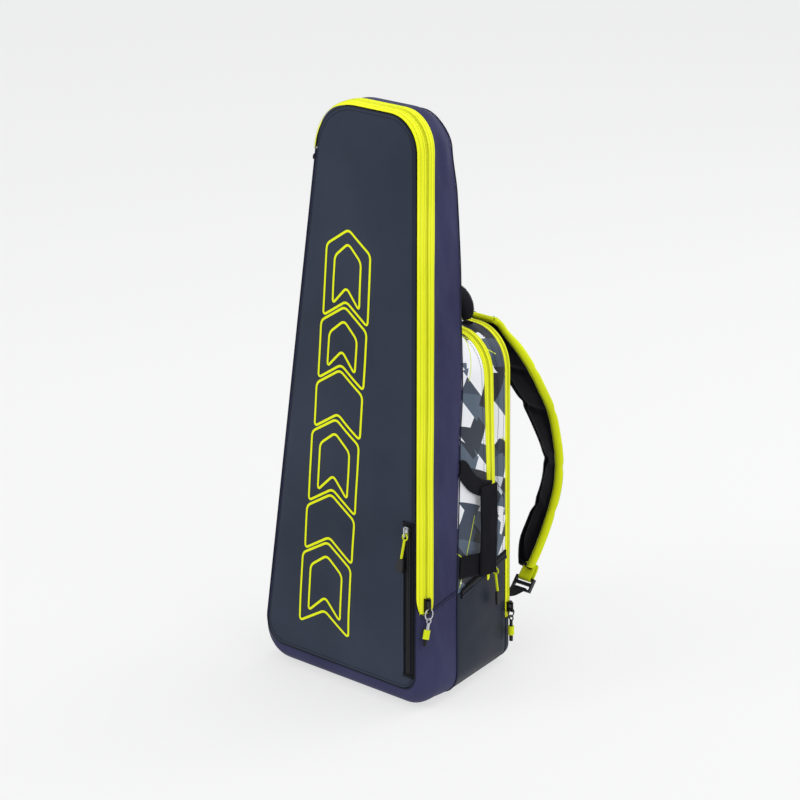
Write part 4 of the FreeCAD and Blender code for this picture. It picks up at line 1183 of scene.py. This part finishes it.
strip("side_pocket_tape", side_place, RIGHT, [
    (-0.0062, -0.0004), (-0.0058, 0.0022), (0, 0.0020), (0.0038, 0.0022), (0.0042, -0.0004)], BLACK_TAPE,
      "black_tape", SIDE_FRONT, SIDE_BACK, 40, "side_pocket_zip")
# The pocket's folded edge also takes the darker slate copy: painted shade.
strip("side_pocket_edge", side_place, RIGHT, [
    (-0.0085, 0.0004), (-0.0080, 0.0028), (-0.0055, 0.0032), (-0.0046, 0.0021)], PAINTED_SHADE_SLATE, "coated_slate",
      SIDE_FRONT, SIDE_BACK, 40)
path = [side_place(SIDE_FRONT + 0.002 + k * 0.002, -0.001, 0.0021) for k in range(54)]
side_coil = along_path("side_pocket_coil", path, [RIGHT] * len(path), 0.0016, (0.0012, 0.0042, 0.0008), BLACK_COIL)
belongs(side_coil, "root", "black_tape")
ribbon = finished_mesh("side_pocket_ribbon", [
    side_place(y, below, rise) for below, rise in ((-0.003, 0.0036), (-0.008, 0.0048), (-0.013, 0.0040))
    for y in (0.0395, 0.0465)], [(0, 1, 3, 2), (2, 3, 5, 4)], LIME)
outward(ribbon, (side_place(0.038, -0.02, 0), RIGHT))
belongs(thicken(ribbon, 0.0014, 1.0), "root", "lime_cord")

# ---------------------------------------------------------------------------
# Sliders, pulls and buckles keep their exact shapes and take cast metal, nickel,
# braided cord, rubber and moulded plastic, with their edges eased.


def metal(name, colour, roughness, metallic=1.0, coat=0.0):
    """A hard finish with faint scratches. A metallic of 0 makes it a plastic or a rubber."""
    made, tree, shader = new_material(name, Base_Color=srgb(*colour), Metallic=metallic, Coat_Weight=coat)
    scratches = texture(tree, "Noise", object_place(tree), Scale=320)
    rough = maths(tree, "MULTIPLY_ADD", scratches.outputs["Fac"], 0.18, roughness - 0.09)
    tree.links.new(rough, shader.inputs["Roughness"])
    return made


BLACK_METAL = metal("black_metal", (15, 15, 18), 0.34, 0.6, 0.2)
NICKEL = metal("nickel", (196, 198, 202), 0.22)
PLASTIC = metal("grey_plastic", (30, 31, 38), 0.42, 0.0)
RUBBER = metal("black_rubber", (9, 9, 12), 0.6, 0.0)
CORD = cloth_material("lime_cord", (196, 208, 14), (226, 238, 40), 0.5, woven(1500, 0.2), 0.00016)
FINISHES = (
    (BLACK_METAL, 0.0005, ("racket_slider", "main_slider", "rear_slider", "racket_pull_tip", "rear_pull_tip",
                           "rear_pull_ring", "rear_pull_hook")),
    (NICKEL, 0.0004, ("racket_pull_ring", "racket_pull_hook", "pocket_slider", "side_slider")),
    (CORD, 0.0003, ("racket_pull_sleeve", "rear_pull_sleeve", "pocket_pull_cord", "side_pull_cord", "main_pull")),
    (RUBBER, 0.0008, ("pocket_pull_tab", "side_pull_tab")),
    (PLASTIC, 0.0006, ("ladder_lock_left", "ladder_lock_right")))
for finish, ease, nodes in FINISHES:
    for node in nodes:
        part = bpy.data.objects[node]
        part.material_slots[0].material = finish
        bevel = part.modifiers.new("eased", "BEVEL")
        bevel.width = ease
        bevel.segments = 2
        bevel.limit_method = "ANGLE"
        bevel.angle_limit = math.radians(40)

# ---------------------------------------------------------------------------
# Side handle: a loop of black webbing sewn into the seam between the racket
# compartment and the pack body, its grip straight down the body's side.

WEB_STITCH, SEWN_IN = 0.42, 0.006
SIDE_WEBS = (
    ("upper_leg", 0.022, 0.0012, [(0.0008, 0.3040), (0.0050, 0.3030), (0.0130, 0.2920), (0.0250, 0.2790),
                                  (0.040, 0.2700), (0.0560, 0.2650)]),
    ("lower_leg", 0.030, 0.0012, [(0.0008, 0.1720), (0.012, 0.1715), (0.028, 0.1700), (0.044, 0.1680),
                                  (0.0600, 0.1660)]),
    ("grip", 0.0315, 0.0038, [(0.0505, 0.2720), (0.0508, 0.250), (0.0515, 0.225), (0.0510, 0.200), (0.0505, 0.175),
                              (0.0500, 0.1520)]))


def catmull(points, steps):
    """Smooth points through stations of any number of values."""
    made = []
    for k in range(len(points) - 1):
        before, a = points[max(k - 1, 0)], points[k]
        b, after = points[k + 1], points[min(k + 2, len(points) - 1)]
        for s in range(steps):
            t = s / steps
            made.append(tuple(0.5 * (2 * q + (r - p) * t + (2 * p - 5 * q + 4 * r - u) * t * t
                                     + (3 * q - p - 3 * r + u) * t ** 3)
                              for p, q, r, u in zip(before, a, b, after)))
    made.append(tuple(points[-1]))
    return made


def handle_place(along, z, lift):
    """A point in the handle's plane, measured back from the seam it is sewn into."""
    return Vector((side_half(z) + 0.06 * along + lift, side_seam(z) + along, z))


def across_route(route, k, shift):
    """A point beside a route of (along, z), square to its run."""
    a0, z0 = route[max(k - 1, 0)]
    a1, z1 = route[min(k + 1, len(route) - 1)]
    run = Vector((a1 - a0, z1 - z0)).normalized()
    return route[k][0] + run.y * shift, route[k][1] - run.x * shift


def side_ribbon(name, route, width, lift):
    """A flat web in the handle's plane, slightly rippled, given thickness outwards."""
    rows, verts = 6, []
    for k in range(len(route)):
        for row in range(rows + 1):
            along, z = across_route(route, k, (row / rows - 0.5) * width)
            rise = lift + 0.0005 * math.cos(math.pi * (row / rows - 0.5))
            verts.append(handle_place(along, z, rise + unevenness((along * 2, z * 2, row * 0.02), 0.0010, 21.0)))
    web = clean(finished_mesh(name, verts, grid_faces(len(route), rows, False), BLACK_WEB))
    outward(web, (verts[len(verts) // 2], (1, 0, 0)))
    return thicken(web, 0.0021, 1.0)


for label, width, lift, stations in SIDE_WEBS:
    route = catmull(stations, 8)
    side_web = side_ribbon("side_handle_" + label, route, width, lift)
    belongs(side_web, "side_handle", "black_webbing")
    for shift in (-WEB_STITCH, WEB_STITCH):
        path = [handle_place(*across_route(route, k, shift * width), lift + 0.01) for k in range(len(route))
                if route[k][0] > SEWN_IN]
        stitched("side_handle_stitches", *settled(path, side_web), STITCH_THREAD, "side_handle", "black_webbing")
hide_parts("side_handle")

# ---------------------------------------------------------------------------
# Top handle: a loop of black cloth over a foam core, closed along its edges,
# standing on two sewn tabs at the top of the pack body.

HANDLE_Y, HANDLE_SPAN, HANDLE_FOOT, HANDLE_RISE = 0.081, 0.062, 0.470, 0.046
HANDLE_WIDTH, HANDLE_THICK = 0.028, 0.011


def swept(name, frames, sections, material):
    """A closed body through frames that begin (centre, across, out), with a section for each."""
    verts = [frame[0] + frame[1] * a + frame[2] * b for frame, section in zip(frames, sections) for a, b in section]
    return clean(finished_mesh(name, verts, ring_faces(len(frames), len(sections[0])), material))


def pillow(width, thick, side_power=1 / 1.3, face_power=1 / 1.3, count=28):
    """A flat oval section. The lower a power, the squarer that way."""
    made = []
    for s in range(count):
        c, d = math.cos(2 * math.pi * s / count), math.sin(2 * math.pi * s / count)
        made.append((math.copysign(abs(c) ** side_power, c) * width / 2,
                     math.copysign(abs(d) ** face_power, d) * thick / 2))
    return made


handle_line = []
reach, crown_radius = HANDLE_SPAN - HANDLE_THICK / 2, 0.030
crown_z = HANDLE_FOOT + HANDLE_RISE - HANDLE_THICK / 2 - crown_radius
for k in range(6):
    handle_line.append((reach, HANDLE_FOOT + 0.0012 + (crown_z - HANDLE_FOOT - 0.0012) * k / 6, 1.0, 0.0))
for k in range(13):
    angle = math.pi / 2 * k / 12
    handle_line.append((reach - crown_radius + crown_radius * math.cos(angle),
                        crown_z + crown_radius * math.sin(angle), math.cos(angle), math.sin(angle)))
top_x = reach - crown_radius
for k in range(1, 12):
    handle_line.append((top_x - 2 * top_x * k / 12, crown_z + crown_radius, 0.0, 1.0))
handle_line += [(-x, z, -nx, nz) for x, z, nx, nz in reversed(handle_line[:19])]
handle_frames = [(Vector((x, HANDLE_Y, z)), Vector((0, 1, 0)), Vector((nx, 0, nz))) for x, z, nx, nz in handle_line]


def swelled(obj, cap, voxel=0.005, keep=lambda place: place):
    """A closed cover let out by the foam inside it: cloth under pressure, each point held within a cap."""
    body = obj.modifiers.new("even", "REMESH")
    body.mode = "VOXEL"
    body.voxel_size = voxel
    apply_modifiers(obj)
    finish = obj.data.materials[0] if obj.data.materials else None
    start = [v.co.copy() for v in obj.data.vertices]
    cloth = obj.modifiers.new("cover", "CLOTH")
    cloth.settings.quality = 4
    cloth.settings.use_pressure = True
    cloth.settings.uniform_pressure_force = 4
    cloth.settings.effector_weights.gravity = 0
    cloth.point_cache.frame_start = 1
    cloth.point_cache.frame_end = 20
    for step in range(1, 21):
        bpy.context.scene.frame_set(step)
    graph = bpy.context.evaluated_depsgraph_get()
    moved = obj.evaluated_get(graph).to_mesh()
    ends = [v.co.copy() for v in moved.vertices]
    obj.modifiers.clear()
    bpy.context.scene.frame_set(1)
    for vertex, a, b in zip(obj.data.vertices, start, ends):
        shift = b - a
        if shift.length > cap:
            shift *= cap / shift.length
        vertex.co = a + shift
    for vertex in obj.data.vertices:
        vertex.co = keep(vertex.co.copy())
    softened(obj)
    if finish and not obj.data.materials:
        obj.data.materials.append(finish)
    shade_smooth(obj.data)
    return obj


def handle_section(share):
    """The top handle's section, slimmer towards its sewn ends."""
    end = min(share, 1 - share)
    grow = 0.78 + 0.22 * smooth_step(end / 0.10)
    return pillow((HANDLE_WIDTH - 0.002) * (0.72 + 0.28 * smooth_step(end / 0.14)), (HANDLE_THICK - 0.002) * grow)


PADDED_CLOTH = cloth_material("padded_cloth", (9, 9, 14), (20, 20, 27), 0.7, woven(1000, 0.4), 0.00014, sheen=0.03)
handle_sections = [handle_section(k / (len(handle_frames) - 1)) for k in range(len(handle_frames))]
top_loop = swelled(swept("top_handle_loop", handle_frames, handle_sections, PADDED_CLOTH), 0.0022, 0.004)
belongs(top_loop, "top_handle", "black_webbing", "top_handle")
for side in (-1, 1):
    path = [c + a * side * 0.0118 + o * 0.0040 for c, a, o in handle_frames[3:-3]]
    stitched("top_handle_stitches", *settled(path, top_loop), STITCH_THREAD, "top_handle", "black_webbing")
TAB_ARCH = ((-0.0085, 0.4652), (-0.0075, 0.4662), (-0.004, 0.4690), (0.0, 0.4706), (0.004, 0.4690), (0.0075, 0.4662),
            (0.0085, 0.4652))
for side, label, nodes in ((-1, "left", ["top_handle_tabs"]), (1, "right", [])):
    x = side * reach
    verts = [(x + dx, HANDLE_Y + y, z) for y, z in TAB_ARCH for dx in (-0.0060, 0.0, 0.0060)]
    tab = clean(finished_mesh("top_handle_tab_" + label, verts, grid_faces(len(TAB_ARCH), 2, False), BLACK_WEB))
    outward(tab, ((x, HANDLE_Y, 0.4706), (0, 0, 1)))
    belongs(thicken(tab, TAPE_WALL), "root", "black_webbing", *nodes)

# ---------------------------------------------------------------------------
# Back panel: a stiffened board under black spacer mesh, with two foam pads
# for the wearer's back. It folds down with the outer half of the rear zip.

MESH = cloth_material("spacer_mesh", (9, 9, 15), (22, 22, 31), 0.78, woven(420, 0.5), 0.0004, sheen=0.04)
board = face_grid("back_board_cover", MESH, PACK_REAR_LINE, lambda edge, x, w: Vector((x, PACK_BACK + 0.0030, w)), 30)
outward(board, ((0, PACK_BACK, 0.3), (0, 1, 0)))
cut_sheet(board, (0, 0, REAR_ZIP_FOOT + 0.0008), Vector((0, 0, -1)))
thicken(board, 0.0029)
belongs(board, "back_panel", "black_mesh", "back_board")
PAD_LINE = rounded_outline([(-0.037, 0.110), (0.037, 0.110), (0.037, 0.418), (-0.037, 0.418)], [0.022] * 4)
PAD_CHANNELS = (0.175, 0.250, 0.330)
PAD_MIDDLE = 0.051


def channel(at, lines, width):
    """How deep a stitched channel pulls the padding in, from 0 to 1."""
    return max(math.exp(-((at - line) / width) ** 2) for line in lines)


def pad_channels(place):
    """Presses the sewn channels into a pad and keeps its back on the board."""
    base = PACK_BACK + 0.0031
    place.y = base + max(0.0, place.y - base) * (1 - 0.5 * channel(place.z, PAD_CHANNELS, 0.005))
    place.y = min(place.y, base + 0.0105)
    return place


for side, label, nodes in ((-1, "left", ["back_pads"]), (1, "right", [])):
    pad = face_grid("back_pad_" + label, MESH, PAD_LINE,
                    lambda edge, x, w: Vector((side * PAD_MIDDLE + x * 0.96, PACK_BACK + 0.0032, w)), 24)
    outward(pad, ((side * PAD_MIDDLE, PACK_BACK, 0.27), (0, 1, 0)))
    swelled(thicken(pad, 0.0070, 1.0, False), 0.0040, 0.005, pad_channels)
    belongs(pad, "back_panel", "black_mesh", *nodes)

# ---------------------------------------------------------------------------
# Shoulder straps: contoured foam pads in black mesh, quilted across in four
# places, their outer edges bound with thick lime tape and their inner edges with
# black tape. Each one swings from a sewn roll of webbing at the shoulder.

STATIONS = [(0.072, 0.1130, 0.4620, 0.042, 0), (0.081, 0.118, 0.456, 0.047, 0), (0.090, 0.1215, 0.444, 0.053, 0),
            (0.102, 0.132, 0.424, 0.064, 0), (0.108, 0.149, 0.396, 0.066, 0), (0.110, 0.168, 0.362, 0.066, -4),
            (0.110, 0.187, 0.326, 0.065, -9), (0.110, 0.198, 0.280, 0.059, -19), (0.110, 0.200, 0.246, 0.056, -29),
            (0.110, 0.195, 0.212, 0.057, -31), (0.110, 0.178, 0.172, 0.058, -27), (0.109, 0.163, 0.144, 0.053, -24),
            (0.106, 0.155, 0.126, 0.040, -22), (0.103, 0.151, 0.115, 0.030, -22)]
STRAP_THICK = 0.011
QUILTS = (0.390, 0.325, 0.245, 0.190)
QUILT_PINCH, QUILT_HALF = 0.0035, 0.0045
BINDING = cloth_material("lime_binding", (200, 212, 10), (226, 236, 30), 0.55, woven(900, 0.3), 0.00018)


def strap_frames(side):
    """Frames down a strap: the middle of its body, the way across it, and the way out of its rear face."""
    rows = catmull(STATIONS, 9)
    frames = []
    for k, (x, y, z, full, turn_by) in enumerate(rows):
        width = full - QUILT_PINCH * channel(z, QUILTS, 0.006)
        before, after = rows[max(k - 1, 0)], rows[min(k + 1, len(rows) - 1)]
        run = Vector((0, after[1] - before[1], after[2] - before[2])).normalized()
        angle = math.radians(turn_by)
        across = Vector((-math.cos(angle), -math.sin(angle), 0))
        across = (across - run * across.dot(run)).normalized()
        out = run.cross(across).normalized()
        centre = Vector((x, y, z)) + across * width / 2 + out * STRAP_THICK / 2
        mirror = Vector((side, 1, 1))
        frames.append((centre * mirror, across * mirror, out * mirror, width, z))
    return frames


def strap_body(name, side):
    """The cushion of one strap, and the frames that its tapes and stitches follow."""
    frames = strap_frames(side)
    sections = [pillow((width - 0.0044) * (1 - 0.05 * channel(z, QUILTS, QUILT_HALF)), STRAP_THICK - 0.0025,
                       0.55, 0.7, 26) for _, _, _, width, z in frames]

    def quilted(place):
        """Presses the sewn channels into the padding on both faces."""
        centre, across, out, width, z = min(frames, key=lambda frame: (frame[0] - place).length_squared)
        rise = (place - centre).dot(out)
        edge = abs((place - centre).dot(across)) / (width / 2)
        share = (1 - 0.45 * channel(place.z, QUILTS, QUILT_HALF)) * (1 - 0.25 * smooth_step((edge - 0.6) / 0.4))
        return place + out * rise * (share - 1)
    return swelled(swept(name, frames, sections, MESH), 0.0030, 0.005, quilted), frames


OLIVE_THREAD = cloth_material("olive_thread", (112, 122, 14), (142, 152, 20), 0.7, woven(2200, 0.2), 0.00005)


def binding(name, frames, edge, material):
    """A tape folded over one edge of a strap."""
    verts = []
    profile = [(-0.0052, 0.0044), (-0.0030, 0.0045), (-0.0006, 0.0038), (0.0008, 0.0018), (0.0010, 0.0),
               (0.0008, -0.0018), (-0.0006, -0.0038), (-0.0030, -0.0045), (-0.0052, -0.0044)]
    for centre, across, out, width, z in frames:
        dip = channel(z, QUILTS, QUILT_HALF)
        rise_share = 1 - 0.18 * dip - 0.28 * smooth_step((z - 0.425) / 0.025)
        for inwards, rise in profile:
            place = centre + across * edge * ((width / 2 - 0.0012) * (1 - 0.05 * dip) + inwards)
            verts.append(place + out * rise * rise_share)
    tape = clean(finished_mesh(name, verts, grid_faces(len(frames), len(profile) - 1, False), material))
    middle = frames[len(frames) // 2]
    outward(tape, (middle[0] + middle[1] * edge * middle[3] / 2, middle[1] * edge))
    return thicken(tape, 0.0012, 1.0, False)


def end_frames(frames, k, outwards):
    """Frames across one end of a strap, so a tape can be folded over it."""
    centre, across, out, width, z = frames[k]
    run = (frames[1][0] - centre if k == 0 else centre - frames[k - 1][0]).normalized()
    return [(centre + across * width * t, run * outwards, out, 0.0030, 1.0)
            for t in (-0.49, -0.47, -0.3, -0.1, 0.1, 0.3, 0.47, 0.49)]


SIDES = ((1, "right"), (-1, "left"))
for side, label in SIDES:
    body = "strap_" + label
    strap, frames = strap_body("strap_cushion_" + label, side)
    belongs(strap, body, "black_mesh", "strap_pad_" + label)
    for edge, word, cloth, thread, slot, last in (
            (-1, "outer", BINDING, OLIVE_THREAD, "lime_tape", 0),
            (1, "inner", BLACK_TAPE, STITCH_THREAD, "black_tape", len(frames) - 1)):
        tape = belongs(binding("strap_binding_{}_{}".format(word, label), frames, edge, cloth), body, slot)
        belongs(binding("strap_end_{}_{}".format(word, label), end_frames(frames, last, edge), 1, cloth), body, slot)
        for face in (-1, 1):
            path = [c + a * edge * (w / 2 - 0.0036) + o * face * 0.0056 for c, a, o, w, _ in frames]
            stitched("strap_stitches", *settled(path, tape), thread, body, slot, size=(0.0026, 0.0012, 0.0004))

# ---------------------------------------------------------------------------
# Strap ends: a lime loop sewn into the foot of the pad holds a moulded ladder
# lock, black webbing runs from it to the pack, and a sewn roll of webbing
# holds the shoulder end.

LOCK = Vector((0.099, 0.146, 0.092))
LOCK_TURN = math.radians(-38)
FOOT_Y = 0.119
FOOT_RADIUS = 0.0122


def foot_width(y):
    """Width of the webbing's rounded foot at a distance back."""
    return 2 * math.sqrt(max(0.0, FOOT_RADIUS ** 2 - max(0.0, FOOT_Y - y) ** 2))


def on_lock(point, side):
    """A point from the ladder lock's own frame."""
    turned = Matrix.Rotation(LOCK_TURN, 3, "X") @ Vector(point) + LOCK
    return Vector((side * turned.x, turned.y, turned.z))


def flat_web(name, points, width, wall, material, side, place=on_lock, narrowed=None):
    """A web folded along a path of (y, z) in the lock's frame, or narrowed to a rounded end."""
    verts = []
    for y, z in points:
        here = min(width, narrowed(y)) if narrowed else width
        for row in range(5):
            verts.append(place(((row / 4 - 0.5) * here, y, z), side))
    web = clean(finished_mesh(name, verts, grid_faces(len(points), 4, False), material))
    return thicken(web, wall, 0.0)


def foot_place(point, side):
    """A point of the webbing that runs from the lock's foot to the pack."""
    return Vector((side * (LOCK.x + point[0]), point[1], point[2]))


bar = on_lock((0, 0, -0.0045), 1)
loop_run = [(0.0034, 0.031), (0.0036, 0.012), (0.0036, 0.0085)]
loop_run += [(0.0036 * math.cos(a), 0.0075 - 0.0026 * math.sin(a)) for a in (0.3, 0.9, 1.57, 2.24, 2.84)]
loop_run += [(-0.0036, 0.0085), (-0.0036, 0.012), (-0.0034, 0.031)]
foot_run = [(FOOT_Y - FOOT_RADIUS * math.cos(a), 0.0868) for a in (0.2, 0.45, 0.75, 1.1, 1.5)]
foot_run += [(0.125, 0.0872), (0.132, 0.0876), (bar.y - 0.001, bar.z + 0.0002)]
for side, label in SIDES:
    loop = flat_web("strap_end_loop_" + label, loop_run, 0.022, 0.0013, BINDING, side)
    belongs(loop, "strap_" + label, "lime_tape", "strap_loop_" + label)
    web = flat_web("strap_webbing_" + label, foot_run, 2 * FOOT_RADIUS, 0.0017, BLACK_WEB, side, foot_place,
                   foot_width)
    belongs(web, "strap_" + label, "black_webbing", "lower_webbing_" + label)
ANCHOR = Vector((0.054, 0.119, 0.447))
for side, label, nodes in ((1, "right", ["strap_anchors"]), (-1, "left", [])):
    axis = Vector((-0.1237 * side, -0.0005, 0.9923)).normalized()
    top = ANCHOR * Vector((side, 1, 1))
    roll = tube("strap_anchor_roll_" + label, [top + axis * t for t in (-0.0158, -0.015, 0, 0.015, 0.0158)], 0.0038,
                BLACK_WEB, sides=14)
    belongs(roll, "back_panel", "black_webbing", *nodes)
    verts = [(top.x, y, z) for y in (0.1062, 0.111, 0.116) for z in (0.4315, 0.459)]
    tab = finished_mesh("strap_anchor_tab_" + label, verts, [(0, 2, 3, 1), (2, 4, 5, 3)], BLACK_WEB)
    belongs(thicken(tab, 0.003, 0.0, False), "back_panel", "black_webbing")

# ---------------------------------------------------------------------------
# Inside: a stiff base board, a padded wall between the two rear compartments,
# a laptop sleeve on it, and the front pocket's lining.

LINING = cloth_material("grey_lining", (96, 99, 106), (118, 121, 128), 0.75, woven(1200, 0.3), 0.0001)
BOARD = new_material("base_board", Base_Color=srgb(40, 41, 45), Roughness=0.7)[0]
bpy.data.objects["base_board"].material_slots[0].material = BOARD
SLEEVE_HALF, SLEEVE_FOOT, SLEEVE_HEAD = 0.089, 0.0040, 0.249
SLEEVE_FRONT, SLEEVE_BACK = 0.0845, 0.0938
LINER_BACK = 0.0072


def lining_grid(name, place, rows, border, wall, *replaced):
    """A flat lining, square in its count of rows, whose waves fade out within a few rows of its edges."""
    columns, high = rows
    verts = []
    for k in range(columns + 1):
        for row in range(high + 1):
            fade = min(1.0, k / border, (columns - k) / border, row / border, (high - row) / border)
            verts.append(place(k / columns, row / high, fade))
    cloth = clean(finished_mesh(name, verts, grid_faces(columns + 1, high, False), LINING))
    return belongs(thicken(cloth, wall, 0.0, False), "root", "lining", *replaced)


def sleeve_place(y, wave):
    """The laptop sleeve's side at a distance back, with slight waves."""
    def place(across, up, fade):
        x, z = -SLEEVE_HALF + 2 * SLEEVE_HALF * across, SLEEVE_FOOT + (SLEEVE_HEAD - SLEEVE_FOOT) * up
        return (x, y + unevenness((x, 0, z), wave, 31.0) * fade, z)
    return place


def liner_place(depth):
    """One side of the front pocket's bag, at a depth behind the front panel."""
    def place(across, up, fade):
        z = 0.040 + 0.208 * across
        x = side_half(z) - POCKET_INSET - 0.092 + 0.100 * up
        sag = (depth - LINER_BACK) * fade + unevenness((x, 0, z), 0.0012, 41.0) * fade
        return Vector((x, FRONT_FOOT_Y + z * TANGENT + LINER_BACK + sag, z))
    return place


divider = face_grid("compartment_wall", LINING, PACK_REAR_LINE, lambda edge, x, w: Vector(
    (x * (1 - 0.0042 / edge), 0.082 + unevenness((x, 0, w), 0.0010, 31.0), min(max(w, 0.0036), 0.4605))), 24)
belongs(thicken(divider, 0.0020, 0.0, False), "root", "lining", "compartment_divider")
lining_grid("sleeve_front", sleeve_place(SLEEVE_FRONT, 0.0004), (24, 24), 3, 0.0016, "laptop_sleeve")
lining_grid("sleeve_back", sleeve_place(SLEEVE_BACK, 0.0006), (24, 24), 3, 0.0016)
for x in (-0.0892, 0.0892):
    corners = [(x, SLEEVE_FRONT, SLEEVE_FOOT), (x, SLEEVE_BACK, SLEEVE_FOOT), (x, SLEEVE_BACK, SLEEVE_HEAD),
               (x, SLEEVE_FRONT, SLEEVE_HEAD)]
    belongs(thicken(finished_mesh("sleeve_side", corners, [(0, 1, 2, 3)], LINING), 0.0014, 0.0, False), "root",
            "lining")
lining_grid("front_pocket_lining", liner_place(0.0110), (16, 12), 2, 0.0008, "pocket_liner")
lining_grid("front_pocket_facing", liner_place(0.0048), (16, 12), 2, 0.0008)
